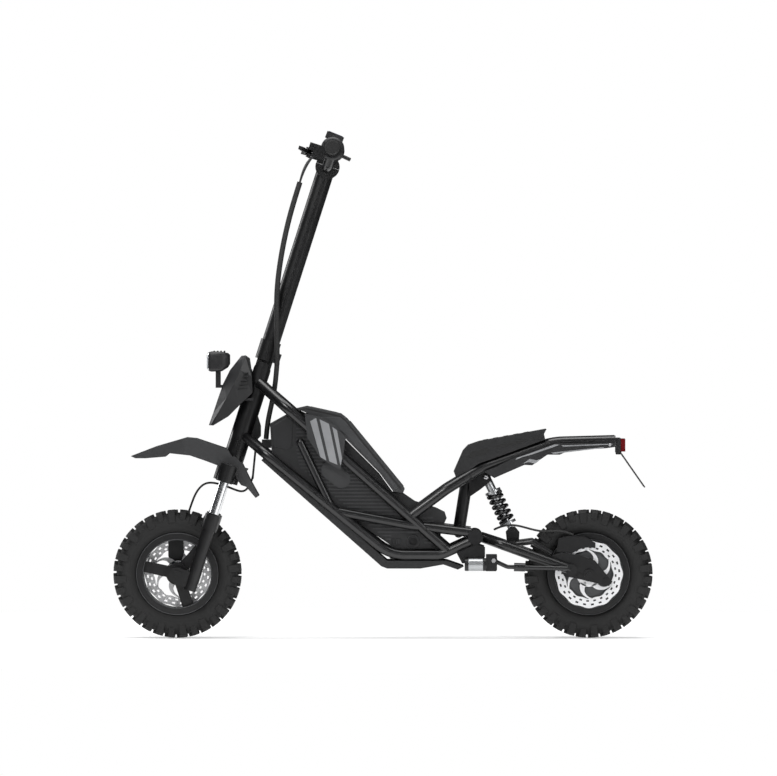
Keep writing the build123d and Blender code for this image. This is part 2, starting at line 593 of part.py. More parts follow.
bar_path = [
    steer_point(BAR_X, -BAR_HALF, GRIP_S),
    steer_point(BAR_X, -RISE_OUT, GRIP_S),
    steer_point(BAR_X, -RISE_IN, BAR_S),
    steer_point(BAR_X, RISE_IN, BAR_S),
    steer_point(BAR_X, RISE_OUT, GRIP_S),
    steer_point(BAR_X, BAR_HALF, GRIP_S),
]
handlebar = bent(bar_path, BAR_R, [RISE_BEND] * 4, BAR_R - 2.2)
keep("handlebar", [handlebar])
grip_at = steer_point(BAR_X, 0, GRIP_S)


def on_bar(radius, y_from, y_to, bore=BAR_R + 0.02):
    return across(grip_at.X, grip_at.Z, radius, y_from, y_to, bore)


grip = on_bar(GRIP_R, -BAR_HALF, -GRIP_IN) + on_bar(GRIP_R + 2, -GRIP_IN - 4, -GRIP_IN)
grip_end = across(grip_at.X, grip_at.Z, GRIP_R, -BAR_HALF - 4, -BAR_HALF)
keep("grips", both_sides(grip + grip_end))
pod = on_bar(24, -POD_Y - POD_HALF, -POD_Y + POD_HALF)
throttle_body = on_bar(24, POD_Y - POD_HALF, POD_Y + POD_HALF)
thumb_slot = on_bar(25, POD_Y + 2, POD_Y + POD_HALF + 1, 17)
throttle_body = throttle_body - thumb_slot
keep("bar_controls", [pod, throttle_body])
thumb_ring = on_bar(21, POD_Y + 2.4, POD_Y + POD_HALF - 1, 17.05)
thumb_arm = rod((grip_at.X + 16, POD_Y + 9, grip_at.Z - 10), (grip_at.X + 40, POD_Y + 14, grip_at.Z - 21), 4.5)
thumb_arm = thumb_arm - on_bar(17.5, POD_Y - 10, POD_Y + 30, 0.0)
keep("thumb_throttle", [max((thumb_ring + thumb_arm).solids(), key=lambda s: s.volume)])
display_frame = Pos(-115, 100 + 8, 1183) * Rot(0, 22, 0) * Box(42, 62, 16)
display_foot = steer_box(-12, 12, POD_Y - POD_HALF - 12, POD_Y - POD_HALF, GRIP_S, GRIP_S + 26) + on_bar(18, POD_Y - POD_HALF - 14, POD_Y - POD_HALF - 0.2)
display = (display_frame + display_foot) - on_bar(BAR_R + 0.02, 0, 300, 0.0)
screen = Pos(-115, 100 + 8, 1183) * Rot(0, 22, 0) * (Pos(0, 0, 8.5) * Box(36, 56, 1))
display = display - handlebar - screen - on_bar(24, POD_Y - POD_HALF, POD_Y + POD_HALF)
keep("display", [max(display.solids(), key=lambda s: s.volume), screen])

perches = []
levers = []
for side in (-1, 1):
    clamp = on_bar(17.5, side * PERCH_Y - PERCH_HALF, side * PERCH_Y + PERCH_HALF)
    pivot_at = steer_point(LEVER_X, side * (PERCH_Y - 8), LEVER_S)
    arm = steer_box(LEVER_X - 2, BAR_X - 13, side * PERCH_Y - PERCH_HALF, side * PERCH_Y + PERCH_HALF, LEVER_S - 9, LEVER_S + 22)
    perch = clamp + arm
    cylinder_body = rod(
        steer_point(-30, side * (PERCH_Y - 55), LEVER_S + 12), steer_point(-30, side * (PERCH_Y - 6), LEVER_S + 12), 8.5
    )
    knuckle = steer_rod(LEVER_X, side * (PERCH_Y - 8), LEVER_S - 9, LEVER_S + 9, 8)
    slot = steer_box(LEVER_X - 30, LEVER_X + 10.5, side * PERCH_Y - 30, side * PERCH_Y + 30, LEVER_S - 4.9, LEVER_S + 4.9)
    perch = perch + cylinder_body + knuckle - slot
    perch = perch - steer_rod(LEVER_X, side * (PERCH_Y - 8), LEVER_S - 30, LEVER_S + 30, 3 + FIT)
    perch = perch - on_bar(BAR_R + 0.02, -400, 400, 0.0)
    perches.append(max(perch.solids(), key=lambda s: s.volume))
    root_y = PERCH_Y - 8
    front_edge = [(-9, root_y - 2), (-20, root_y + 28), (-17, root_y + 82), (-23, root_y + LEVER_LEN)]
    back_edge = [(-14, root_y + LEVER_LEN + 4), (-8, root_y + 82), (-10, root_y + 30), (5, root_y + 5)]
    edge = [(LEVER_X + x, side * y, LEVER_S) for x, y in front_edge + back_edge]
    blade_face = make_face(Polyline(*edge, close=True))
    blade = STEER * extrude(blade_face, amount=LEVER_T / 2 - 0.2, both=True)
    hub = steer_rod(LEVER_X, side * root_y, LEVER_S - LEVER_T / 2 + 0.2, LEVER_S + LEVER_T / 2 - 0.2, 7.5)
    lever = blade + hub - steer_rod(LEVER_X, side * root_y, LEVER_S - 30, LEVER_S + 30, 3 + FIT)
    levers.append(max(lever.solids(), key=lambda s: s.volume))
keep("left_brake_lever", [levers[0]])
keep("right_brake_lever", [levers[1]])
lever_pins = [steer_rod(LEVER_X, side * (PERCH_Y - 8), LEVER_S - 10, LEVER_S + 10, 3) for side in (-1, 1)]
keep("brake_perches", perches + lever_pins)

LATCH_S = 700.0
latch_foot = steer_box(HEAD_R - 3, HEAD_R + 9, -9, 9, LATCH_S - 10, LATCH_S + 12) - steer_rod(0, 0, LATCH_S - 40, LATCH_S + 40, HEAD_R)
latch_at = steer_point(HEAD_R + 6, 0, LATCH_S + 6)
latch_foot = latch_foot - steer_box(HEAD_R + 1, HEAD_R + 30, -5.3, 5.3, LATCH_S - 40, LATCH_S + 40)
latch_foot = latch_foot + across(latch_at.X, latch_at.Z, 2.5, -9, 9)
latch_foot = latch_foot & steer_rod(0, 0, LATCH_S - 60, LATCH_S + 60, HEAD_R + 12)
stem = stem + latch_foot
keep("stem_tube", [max(stem.solids(), key=lambda s: s.volume), clamp_cap])
latch = steer_box(HEAD_R + 3, HEAD_R + 9, -5, 5, LATCH_S - 7, LATCH_S + 10)
latch = latch - across(latch_at.X, latch_at.Z, 2.5 + FIT, -9, 9)
keep("fold_latch", [latch])

# ---- fork lower legs, front axle, front caliper ----
lug_at = steer_point(AXLE_OFFSET, 0, AXLE_S)
legs = []
seals = []
for side in (-1, 1):
    y = side * LEG_Y
    leg = steer_rod(LEG_X, y, LEG_LOW, LEG_TOP - 6, LEG_R) + steer_rod(LEG_X, y, COLLAR_LOW, LEG_TOP, COLLAR_R)
    lug = across(lug_at.X, lug_at.Z, LUG_R, y - LUG_T / 2, y + LUG_T / 2)
    link = steer_box(AXLE_OFFSET, LEG_X, y - LUG_T / 2, y + LUG_T / 2, AXLE_S - 22, AXLE_S + 16)
    leg = leg + lug + link
    leg -= steer_rod(LEG_X, y, STANCHION_LOW - FORK_TRAVEL - 10, LEG_TOP, STANCHION_R + FIT)
    leg -= across(lug_at.X, lug_at.Z, AXLE_R, y - 20, y + 20)
    seal_seat = steer_rod(LEG_X, y, LEG_TOP - 6, LEG_TOP, STANCHION_R + 4)
    leg = leg - seal_seat
    legs.append(max(leg.solids(), key=lambda s: s.volume))
    seals.append(steer_rod(LEG_X, y, LEG_TOP - 6, LEG_TOP + 3, STANCHION_R + 3.95, STANCHION_R + FIT))
keep("fork_lower_legs", legs + seals)
front_axle = across(lug_at.X, lug_at.Z, AXLE_R, -LEG_Y - 14, LEG_Y + 14)
nut = across(lug_at.X, lug_at.Z, 9.5, -LEG_Y - 15, -LEG_Y - LUG_T / 2, AXLE_R)
keep("front_axle", [front_axle] + both_sides(nut))
disc_mid_f = DISC_Y_FRONT + DISC_T / 2
front_caliper = box(-508, -472, disc_mid_f - 8, disc_mid_f + 14, 186, 238)
front_caliper = chamfer(front_caliper.edges().filter_by(Axis.Y), 6)
front_caliper -= across(AXLE_FRONT_X, TYRE_R, DISC_R + 2, disc_mid_f - CALIPER_SLOT / 2, disc_mid_f + CALIPER_SLOT / 2)
mount_plate = plate([(-508, 190), (-508, 224), (-472, 224), (-470, 190), (-474, 162), (-496, 162)], disc_mid_f + 14, LEG_Y - LUG_T / 2)
mount_plate -= across(lug_at.X, lug_at.Z, LUG_R - 3, 0, 90)
keep("front_caliper", list(front_caliper.solids()) + [mount_plate])

# ---- wheels ----
TYRE_PROFILE = [
    (BEAD_R, RIM_HALF_W - FLANGE_W), (FLANGE_R + 1, RIM_HALF_W - FLANGE_W), (FLANGE_R + 4, 36), (112, TYRE_HALF_W),
    (132, TYRE_HALF_W), (TYRE_R - 7, 41), (TYRE_R, TREAD_HALF_W),
]


def tyre(axle_x):
    """The tyre's outline turned about its axle."""
    edge = [(axle_x + r, y, TYRE_R) for r, y in TYRE_PROFILE]
    mirrored = [(axle_x + r, -y, TYRE_R) for r, y in reversed(TYRE_PROFILE)]
    face = make_face(Polyline(*edge, *mirrored, close=True))
    return revolve(face, axis=Axis((axle_x, 0, TYRE_R), (0, 1, 0)), revolution_arc=360)


def rim_ring(axle_x):
    ring = across(axle_x, TYRE_R, BEAD_R, -RIM_HALF_W, RIM_HALF_W, RIM_IN_R)
    for side in (-1, 1):
        low = min(side * RIM_HALF_W, side * (RIM_HALF_W - FLANGE_W))
        ring += across(axle_x, TYRE_R, FLANGE_R, low, low + FLANGE_W, RIM_IN_R)
    return ring


def slotted_disc(axle_x, y_from, hole_r, slots):
    """A brake disc with a wavy edge, cooling slots and a carrier of curved arms."""
    waves = 12
    disc = across(axle_x, TYRE_R, DISC_R, y_from, y_from + DISC_T)
    for n in range(waves):
        turn = 2 * pi * n / waves
        x = axle_x + (DISC_R + 9) * cos(turn)
        z = TYRE_R + (DISC_R + 9) * sin(turn)
        disc -= across(x, z, 11.5, y_from - 1, y_from + DISC_T + 1)
    for n in range(slots):
        turn = 2 * pi * n / slots
        for r, hole in ((68, 3.2), (60, 2.6)):
            shift = turn + (0.12 if r == 60 else 0.0)
            x = axle_x + r * cos(shift)
            z = TYRE_R + r * sin(shift)
            disc -= across(x, z, hole, y_from - 1, y_from + DISC_T + 1)
    window_r = 41.0
    for n in range(6):
        turn = 2 * pi * (n + 0.5) / 6
        x = axle_x + window_r * cos(turn)
        z = TYRE_R + window_r * sin(turn)
        disc -= across(x, z, 11.0, y_from - 1, y_from + DISC_T + 1)
    return disc - across(axle_x, TYRE_R, hole_r, y_from - 1, y_from + DISC_T + 1)


front_rim = rim_ring(AXLE_FRONT_X) + across(AXLE_FRONT_X, TYRE_R, HUB_R, -HUB_HALF_W, HUB_HALF_W)
for n in range(SPOKES):
    turn = 48.0 + 360.0 * n / SPOKES
    spoke = Pos(RIM_IN_R / 2 + 1, 0, 0) * Box(RIM_IN_R, SPOKE_DEPTH, SPOKE_W)
    front_rim += Pos(AXLE_FRONT_X, 0, TYRE_R) * Rot(0, -turn, 0) * spoke
WHEEL_BEARING_R = 16.0
front_rim -= across(AXLE_FRONT_X, TYRE_R, WHEEL_BEARING_R, -HUB_HALF_W - 1, HUB_HALF_W + 1)
keep("front_tyre", [tyre(AXLE_FRONT_X)])
front_disc = slotted_disc(AXLE_FRONT_X, DISC_Y_FRONT, 17.0, 24)
keep("front_brake_disc", [front_disc])
disc_seat = across(AXLE_FRONT_X, TYRE_R, HUB_R, HUB_HALF_W, DISC_Y_FRONT, 17.0)
front_rim = front_rim + disc_seat
wheel_bearing = across(AXLE_FRONT_X, TYRE_R, WHEEL_BEARING_R - 0.02, -HUB_HALF_W, -HUB_HALF_W + 10, AXLE_R + FIT)
keep("front_rim", [front_rim] + both_sides(wheel_bearing))

MOTOR_R = 75.0
MOTOR_HALF = 43.0
MAGNET_R = 64.0
REAR_AXLE_R = 7.0
AXLE_END_R = 6.0
REAR_BEARING_R = 16.0
hub_shell = rim_ring(AXLE_REAR_X) + across(AXLE_REAR_X, TYRE_R, RIM_IN_R + 1, -16, 16)
hub_shell += across(AXLE_REAR_X, TYRE_R, MOTOR_R, -MOTOR_HALF, MOTOR_HALF)
hub_shell -= across(AXLE_REAR_X, TYRE_R, MAGNET_R + 2, -MOTOR_HALF + 5, MOTOR_HALF - 5)
hub_shell -= across(AXLE_REAR_X, TYRE_R, REAR_BEARING_R, -MOTOR_HALF - 1, MOTOR_HALF + 1)
hub_neck = across(AXLE_REAR_X, TYRE_R, 30, DISC_Y_REAR + DISC_T, -MOTOR_HALF, REAR_BEARING_R)
hub_shell = hub_shell + hub_neck
magnets = (across(AXLE_REAR_X, TYRE_R, MAGNET_R + 2, -28, 28, MAGNET_R - 2))
keep("rear_tyre", [tyre(AXLE_REAR_X)])
rear_disc = slotted_disc(AXLE_REAR_X, DISC_Y_REAR, 17.0, 24)
keep("rear_brake_disc", [rear_disc])
rear_bearing = across(AXLE_REAR_X, TYRE_R, REAR_BEARING_R - 0.02, -MOTOR_HALF, -MOTOR_HALF + 9, REAR_AXLE_R + FIT)
keep("hub_motor_shell", [hub_shell, magnets] + both_sides(rear_bearing))

# ---- swingarm ----
pivot_tube = across(PIVOT_X, PIVOT_Z, 16, -BOSS_IN + GAP, BOSS_IN - GAP)
arms = []
for side in (-1, 1):
    arm_path = [
        (PIVOT_X + 16, side * 38, PIVOT_Z - 2),
        (278, side * ARM_Y, 222),
        (442.5, side * ARM_Y, 162.6),
    ]
    arm = bent(arm_path, ARM_R, [24]) + across(442.5, 162.6, 13.5, side * ARM_Y - 11, side * ARM_Y + 11)
    arms.append(arm)
bridge = across(306, 217, 12, -ARM_Y, ARM_Y)
shock_fork = []
for side in (-1, 1):
    fork_ear = plate([(294, 214), (290, 250), (300, 262), (312, 262), (322, 250), (320, 214)], side * 16.5, side * 21.5)
    shock_fork.append(fork_ear)
stays = []
for side in (-1, 1):
    stays.append(rod((306, side * 50, 222), (352, side * 57, 228), 6.5))
    stays.append(Pos(352, side * 57, 228) * Sphere(6.5))
    stays.append(rod((352, side * 57, 228), (398, side * 63, 200), 6.5))
swingarm = join([pivot_tube] + arms + [bridge] + shock_fork + stays)
swingarm -= across(PIVOT_X, PIVOT_Z, PIVOT_PIN_R + FIT, -90, 90)
swingarm -= across(SHOCK_LOW[0], SHOCK_LOW[1], 5.0, -30, 30)
plate_outline = [
    (396, 196), (419, 203), (458, 198), (499, 184), (540, 134), (532, 124), (496, 132), (455, 142), (427, 147),
]
dropout = plate(plate_outline, -PLATE_IN - PLATE_T, -PLATE_IN)
dropout -= across(AXLE_REAR_X, TYRE_R, REAR_AXLE_R, -100, -50)
dropouts = both_sides(dropout)
for tool in dropouts:
    swingarm = swingarm - tool
swingarm = max(swingarm.solids(), key=lambda s: s.volume)
keep("swingarm", [swingarm])
plate_bolts = []
for bolt_x, bolt_z in ((487, 186), (524, 138), (462, 150)):
    plate_bolts.append(across(bolt_x, bolt_z, 4.5, -PLATE_IN - PLATE_T - 4, -PLATE_IN - PLATE_T))
far_bolts = [mirror(b, about=Plane.XZ) for b in plate_bolts]
shock_low_pin = across(SHOCK_LOW[0], SHOCK_LOW[1], 5.0, -24, 24)
keep("dropout_plates", dropouts + plate_bolts + far_bolts + [shock_low_pin])
nut_face = PLATE_IN + PLATE_T + 10
rear_axle = across(AXLE_REAR_X, TYRE_R, REAR_AXLE_R, -nut_face, nut_face)
rear_axle += across(AXLE_REAR_X, TYRE_R, AXLE_END_R, -nut_face - 6, nut_face + 6)
rear_nut = across(AXLE_REAR_X, TYRE_R, 12, -nut_face, -PLATE_IN - PLATE_T, REAR_AXLE_R)
stator = (across(AXLE_REAR_X, TYRE_R, MAGNET_R - 2.6, -26, 26, REAR_AXLE_R))
keep("rear_axle", [rear_axle, stator] + both_sides(rear_nut))
disc_mid_r = DISC_Y_REAR + DISC_T / 2
rear_caliper = plate([(408, 204), (414, 236), (436, 242), (474, 240), (500, 226), (500, 204), (470, 200)], disc_mid_r - 6, disc_mid_r + 8)
rear_caliper -= across(AXLE_REAR_X, TYRE_R, DISC_R + 2, disc_mid_r - CALIPER_SLOT / 2, disc_mid_r + CALIPER_SLOT / 2)
rear_caliper -= across(AXLE_REAR_X, TYRE_R, MOTOR_R - 12, disc_mid_r - 20, disc_mid_r + 20)
rear_caliper -= across(AXLE_REAR_X, TYRE_R, 112, disc_mid_r + 9, disc_mid_r + 30)
keep("rear_caliper", list(rear_caliper.solids()))

# ---- shock absorber ----
shock_dx = SHOCK_LOW[0] - SHOCK_TOP[0]
shock_dz = SHOCK_LOW[1] - SHOCK_TOP[1]
shock_len = hypot(shock_dx, shock_dz)


def on_shock(t):
    """The point a distance t down the shock from its upper eye."""
    return (SHOCK_TOP[0] + shock_dx * t / shock_len, 0, SHOCK_TOP[1] + shock_dz * t / shock_len)


ROD_TOP = 66.0
upper_eye = across(SHOCK_TOP[0], SHOCK_TOP[1], EYE_R - 2, -EYE_HALF, EYE_HALF)
shock_body = upper_eye + rod(on_shock(6), on_shock(84), SHOCK_BODY_R)
shock_body += rod(on_shock(SPRING_FROM - 6), on_shock(SPRING_FROM), SPRING_OUT_R)
shock_body -= rod(on_shock(ROD_TOP - 24), on_shock(84.5), SHOCK_ROD_R + FIT)
shock_body -= across(SHOCK_TOP[0], SHOCK_TOP[1], 5.0 + FIT, -20, 20)
keep("shock_body", [shock_body])
lower_eye = across(SHOCK_LOW[0], SHOCK_LOW[1], EYE_R + 1, -EYE_HALF, EYE_HALF)
shock_rod = rod(on_shock(ROD_TOP), on_shock(shock_len - 6), SHOCK_ROD_R) + lower_eye
shock_rod += rod(on_shock(SPRING_TO), on_shock(SPRING_TO + 6), SPRING_OUT_R)
shock_rod -= across(SHOCK_LOW[0], SHOCK_LOW[1], 7.5, -20, 20)
keep("shock_rod", [shock_rod])
spring = rod(on_shock(SPRING_FROM), on_shock(SPRING_TO), SPRING_OUT_R, SPRING_OUT_R - SPRING_WIRE)
keep("shock_spring", [spring])

# ---- side stand ----
stand_barrel = rod((192, STAND_Y, 175.5), (243, STAND_Y, 175.5), 15.5)
mount_block = box(243, 268, STAND_Y - 12, STAND_Y + 12, 160, 200) - box(242, 275, STAND_Y - 6, STAND_Y + 6, 150, 195.5)
for tool in [boss_gusset, lower_tube, belly_pan]:
    stand_barrel = stand_barrel - tool
    mount_block = mount_block - tool
mount_block -= across(STAND_X, STAND_Z, 4, STAND_Y - 20, STAND_Y + 20)
stand_barrel = max(stand_barrel.solids(), key=lambda s: s.volume)
keep("stand_mount", [stand_barrel, max(mount_block.solids(), key=lambda s: s.volume)])
stand_path = [(STAND_X, STAND_Y, STAND_Z), (292, STAND_Y, 170), (STAND_X + STAND_LEG, STAND_Y, 166)]
stand_leg = across(STAND_X, STAND_Z, 9, STAND_Y - 5.5, STAND_Y + 5.5) + bent(stand_path, 5, [24])
stand_leg -= across(STAND_X, STAND_Z, 4 + FIT, STAND_Y - 20, STAND_Y + 20)
stand_sleeve = rod((308, STAND_Y, 169.549), (334, STAND_Y, 168.817), 10, 5)
keep("side_stand", [stand_leg, stand_sleeve - stand_leg])

# ---- cables and hoses ----
sleeve_route = [
    (-196, -14, 1075), (-209, -16, 1034), (-222, -20, 989), (-236, -26, 926), (-246, -33, 863),
    (-250, -37, 818), (-251, -38, 773), (-249, -37, 705), (-250, -33, 645),
]
cable_sleeve = cord("cable_sleeve", sleeve_route, CABLE_R)
harness_route = [
    (-250, -33, 643.5), (-253, -28, 604), (-259, -18, 568), (-266, -8, 538), (-273, -2, 506), (-276, 0, 469),
]
keep("lower_harness", [cord("lower_harness", harness_route, CABLE_R - 0.5)])
front_hose_route = [
    (-294, 12, 486), (-302, 13, 437), (-308, 15, 375), (-322, 17, 338), (-352, 20, 350), (-389, 26, 364),
    (-421, 34, 368), (-444, 44, 343), (-457, 52, 303), (-470, 52, 268), (-482, 50, 240.8),
]
keep("front_brake_hose", [cord("front_brake_hose", front_hose_route, HOSE_R)])
rear_hose_route = [(262, -30, 256), (292, -46, 272), (336, -58, 262), (380, -60, 248), (420, -60, 257), (448, -58, 244.2)]
keep("rear_brake_hose", [cord("rear_brake_hose", rear_hose_route, HOSE_R)])
lever_cable = [
    (-151.5, -122.2, 1150.1), (-155, -98, 1147), (-170, -64, 1130), (-187, -34, 1103), (-195.8, -17.4, 1075.7),
]
right_cable_route = [
    (-151.5, 122.2, 1150.1), (-157, 94, 1146), (-173, 56, 1133), (-188, 20, 1110), (-195.9, -10.6, 1075.5),
]
left_cable = cord("left lever cable", lever_cable, HOSE_R)
right_cable = cord("right lever cable", right_cable_route, HOSE_R)
keep("control_cables", [cable_sleeve, left_cable, right_cable])
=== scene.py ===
import bpy
import bmesh
from math import cos, sin, pi, radians
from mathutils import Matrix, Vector


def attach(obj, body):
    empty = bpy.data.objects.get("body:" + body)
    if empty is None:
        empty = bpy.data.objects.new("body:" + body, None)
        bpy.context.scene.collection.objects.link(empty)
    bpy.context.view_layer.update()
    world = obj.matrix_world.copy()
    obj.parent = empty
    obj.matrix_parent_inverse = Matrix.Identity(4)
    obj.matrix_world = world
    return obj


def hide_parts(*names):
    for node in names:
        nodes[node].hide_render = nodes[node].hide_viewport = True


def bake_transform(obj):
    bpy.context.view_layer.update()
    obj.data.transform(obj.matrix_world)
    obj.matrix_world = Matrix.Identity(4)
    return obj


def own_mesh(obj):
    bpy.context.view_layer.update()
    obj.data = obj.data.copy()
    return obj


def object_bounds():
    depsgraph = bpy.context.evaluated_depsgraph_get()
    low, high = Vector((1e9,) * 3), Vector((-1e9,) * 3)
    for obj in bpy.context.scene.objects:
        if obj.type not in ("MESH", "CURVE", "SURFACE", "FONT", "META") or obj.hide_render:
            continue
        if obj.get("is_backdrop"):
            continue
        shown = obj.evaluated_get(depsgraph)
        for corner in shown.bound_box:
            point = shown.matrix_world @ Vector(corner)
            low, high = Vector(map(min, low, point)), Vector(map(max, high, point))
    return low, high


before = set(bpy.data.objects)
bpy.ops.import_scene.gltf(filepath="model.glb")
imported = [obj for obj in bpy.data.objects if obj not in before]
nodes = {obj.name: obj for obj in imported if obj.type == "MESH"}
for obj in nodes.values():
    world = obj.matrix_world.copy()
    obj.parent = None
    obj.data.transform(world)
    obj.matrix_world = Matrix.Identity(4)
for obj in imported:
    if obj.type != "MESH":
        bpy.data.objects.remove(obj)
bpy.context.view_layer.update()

AXLES = {"front": (-0.485, 0.1515), "rear": (0.485, 0.1515)}
FLOOR_R = 1.9
AXIS_R = 0.0002          # inner radius of a turned shape that is closed at its axis
CASE_SIDE = 67.0         # half widths in millimetres
COVER_SIDE = 85.0
COWL_SIDE = 62.5
FAIRING_SIDE = 62.8
PANEL_SIDE = 97.6
STAND_Y = -0.099
HOSE_R = 0.0025
SLEEVE_R = 0.0065
HARNESS_R = 0.006
DISPLAY_TILT = 0.383972  # 22 degrees in radians


# ---- materials ----
def material(name, colour, rough, metal=0.0, grain=900.0, bump=0.15, mottle=0.18, spread=0.08,
             stretch=(1, 1, 1), coat=0.0, dust=None):
    """A surface with cloudy colour, fine grain in its bump and uneven roughness."""
    mat = bpy.data.materials.new(name)
    mat.use_nodes = True
    tree = mat.node_tree
    shader = tree.nodes["Principled BSDF"]
    shader.inputs["Metallic"].default_value = metal
    shader.inputs["Coat Weight"].default_value = coat
    shader.inputs["Coat Roughness"].default_value = 0.15

    def node(kind, **values):
        made = tree.nodes.new(kind)
        for key, value in values.items():
            made.inputs[key].default_value = value
        return made

    place = node("ShaderNodeTexCoord")
    mapping = node("ShaderNodeMapping", Scale=stretch)
    tree.links.new(place.outputs["Object"], mapping.inputs["Vector"])
    cloud = node("ShaderNodeTexNoise", Scale=14.0, Detail=5.0, Roughness=0.6)
    fine = node("ShaderNodeTexNoise", Scale=grain, Detail=3.0, Roughness=0.55)
    tree.links.new(mapping.outputs["Vector"], cloud.inputs["Vector"])
    tree.links.new(mapping.outputs["Vector"], fine.inputs["Vector"])
    ramp = node("ShaderNodeValToRGB")
    low = [max(0.0, c * (1 - mottle)) for c in colour] + [1.0]
    high = [min(1.0, c * (1 + mottle)) for c in colour] + [1.0]
    ramp.color_ramp.elements[0].position = 0.3
    ramp.color_ramp.elements[0].color = low
    ramp.color_ramp.elements[1].position = 0.7
    ramp.color_ramp.elements[1].color = high
    tree.links.new(cloud.outputs["Fac"], ramp.inputs["Fac"])
    last = ramp.outputs["Color"]
    if dust:
        speck = node("ShaderNodeTexNoise", Scale=60.0, Detail=6.0, Roughness=0.75)
        tree.links.new(place.outputs["Object"], speck.inputs["Vector"])
        window = node("ShaderNodeMapRange")
        window.inputs["From Min"].default_value = 0.5
        window.inputs["From Max"].default_value = 0.75
        window.inputs["To Max"].default_value = dust[1]
        tree.links.new(speck.outputs["Fac"], window.inputs["Value"])
        mix = tree.nodes.new("ShaderNodeMix")
        mix.data_type = "RGBA"
        mix.inputs[7].default_value = list(dust[0]) + [1.0]
        tree.links.new(window.outputs["Result"], mix.inputs[0])
        tree.links.new(last, mix.inputs[6])
        last = mix.outputs[2]
    tree.links.new(last, shader.inputs["Base Color"])
    uneven = node("ShaderNodeMapRange")
    uneven.inputs["To Min"].default_value = max(0.02, rough - spread)
    uneven.inputs["To Max"].default_value = min(1.0, rough + spread)
    tree.links.new(cloud.outputs["Fac"], uneven.inputs["Value"])
    tree.links.new(uneven.outputs["Result"], shader.inputs["Roughness"])
    relief = node("ShaderNodeBump", Strength=bump, Distance=0.0004)
    tree.links.new(fine.outputs["Fac"], relief.inputs["Height"])
    tree.links.new(relief.outputs["Normal"], shader.inputs["Normal"])
    return mat


DUST = (0.035, 0.035, 0.035)
PAINT = material("satin_paint", (0.005, 0.005, 0.0055), 0.30, grain=1600, bump=0.06, coat=0.15,
                 dust=(DUST, 0.04))
CHARCOAL = material("charcoal_plastic", (0.0085, 0.0087, 0.0095), 0.50, grain=1500, bump=0.30,
                    dust=(DUST, 0.12))
GREY = material("grey_plastic", (0.030, 0.0305, 0.032), 0.46, grain=1500, bump=0.28, dust=(DUST, 0.12))
BLACK = material("black_plastic", (0.010, 0.010, 0.011), 0.42, grain=1300, bump=0.25)
ALLOY = material("black_alloy", (0.007, 0.007, 0.0075), 0.36, metal=0.2, grain=1100, bump=0.10,
                 dust=(DUST, 0.15))
CHROME = material("chrome", (0.80, 0.81, 0.82), 0.20, metal=1.0, grain=500, bump=0.02, mottle=0.04,
                  spread=0.04)
STEEL = material("disc_steel", (0.88, 0.88, 0.89), 0.36, metal=0.45, grain=700, bump=0.10, mottle=0.10)
BRUSHED = material("machined_steel", (0.50, 0.50, 0.51), 0.32, metal=1.0, grain=500, bump=0.12, mottle=0.12,
                   stretch=(1, 6, 1))
SILVER = material("silver_alloy", (0.42, 0.43, 0.44), 0.34, metal=0.9, grain=900, bump=0.10, mottle=0.12)
HUB_GREY = material("motor_casting", (0.10, 0.102, 0.105), 0.45, metal=0.6, grain=800, bump=0.22, mottle=0.2)
TYRE = material("tyre_rubber", (0.0055, 0.0055, 0.0055), 0.72, grain=700, bump=0.45, mottle=0.35,
                dust=((0.018, 0.018, 0.0175), 0.22))
RUBBER = material("rubber", (0.012, 0.012, 0.012), 0.58, grain=1200, bump=0.30, mottle=0.3)
RED = material("red_lens", (0.13, 0.004, 0.006), 0.14, grain=350, bump=0.5, mottle=0.25, coat=0.6)
LENS = material("clear_lens", (0.55, 0.57, 0.60), 0.08, grain=300, bump=0.3, mottle=0.1, coat=0.5)
# painted reflection: the patchy blue-purple base colour stands in for glints on the screen glass
SCREEN_GLINTS = material("display_glass", (0.030, 0.026, 0.14), 0.07, grain=200, bump=0.02, mottle=0.6, coat=1.0)
SPRING = material("spring_enamel", (0.004, 0.004, 0.0045), 0.28, grain=900, bump=0.05, coat=0.3)
BAND = material("silver_band", (0.30, 0.305, 0.315), 0.36, metal=0.2, grain=1400, bump=0.10, mottle=0.14)
COVER = material("cover_plastic", (0.040, 0.041, 0.043), 0.42, grain=1500, bump=0.28, dust=(DUST, 0.10))
# near-black: the cover's dark seam lines, and painted shade where it fills the cowl's vent recesses and
# creases
SEAM_AND_SHADE = material("seam_and_painted_shade", (0.005, 0.005, 0.005), 0.6, grain=1200, bump=0.2, mottle=0.3)
CELLS = material("cell_wrap", (0.03, 0.10, 0.20), 0.5, grain=300, bump=0.3, mottle=0.3)

finish = {
    PAINT: ["head_tube", "upper_frame_tubes", "lower_frame_tubes", "middle_frame_tubes", "seat_frame_tubes",
            "cross_tubes", "frame_brackets", "frame_pins", "handlebar", "swingarm", "side_stand"],
    CHARCOAL: ["belly_pan", "battery_case", "seat_cowl", "tail_fairings"],
    GREY: ["battery_top_cover", "front_fender", "front_mask", "side_panels"],
    BLACK: ["charge_port", "power_button", "tail_light_housing", "headlight_bracket", "headlight_housing",
            "thumb_throttle", "bar_controls", "display"],
    ALLOY: ["fork_crown", "fold_base", "stem_tube", "brake_perches", "left_brake_lever", "right_brake_lever",
            "fork_lower_legs", "front_caliper", "rear_caliper", "front_rim", "hub_motor_shell",
            "dropout_plates", "front_axle", "rear_axle"],
    CHROME: ["fork_stanchions"],
    STEEL: ["front_brake_disc", "rear_brake_disc"],
    BRUSHED: ["headset_bearings", "fold_latch"],
    SILVER: ["stand_mount", "shock_body", "shock_rod"],
    RUBBER: ["grips", "control_cables", "lower_harness", "front_brake_hose", "rear_brake_hose"],
    TYRE: ["front_tyre", "rear_tyre"],
    RED: ["tail_light_lens"],
    LENS: ["headlight_lens"],
    SPRING: ["shock_spring"],
    CELLS: ["battery_and_controller"],
}
for mat, names in finish.items():
    for name in names:
        mesh = nodes[name].data
        if not mesh.materials:
            mesh.materials.append(mat)
        for slot in nodes[name].material_slots:
            slot.material = mat


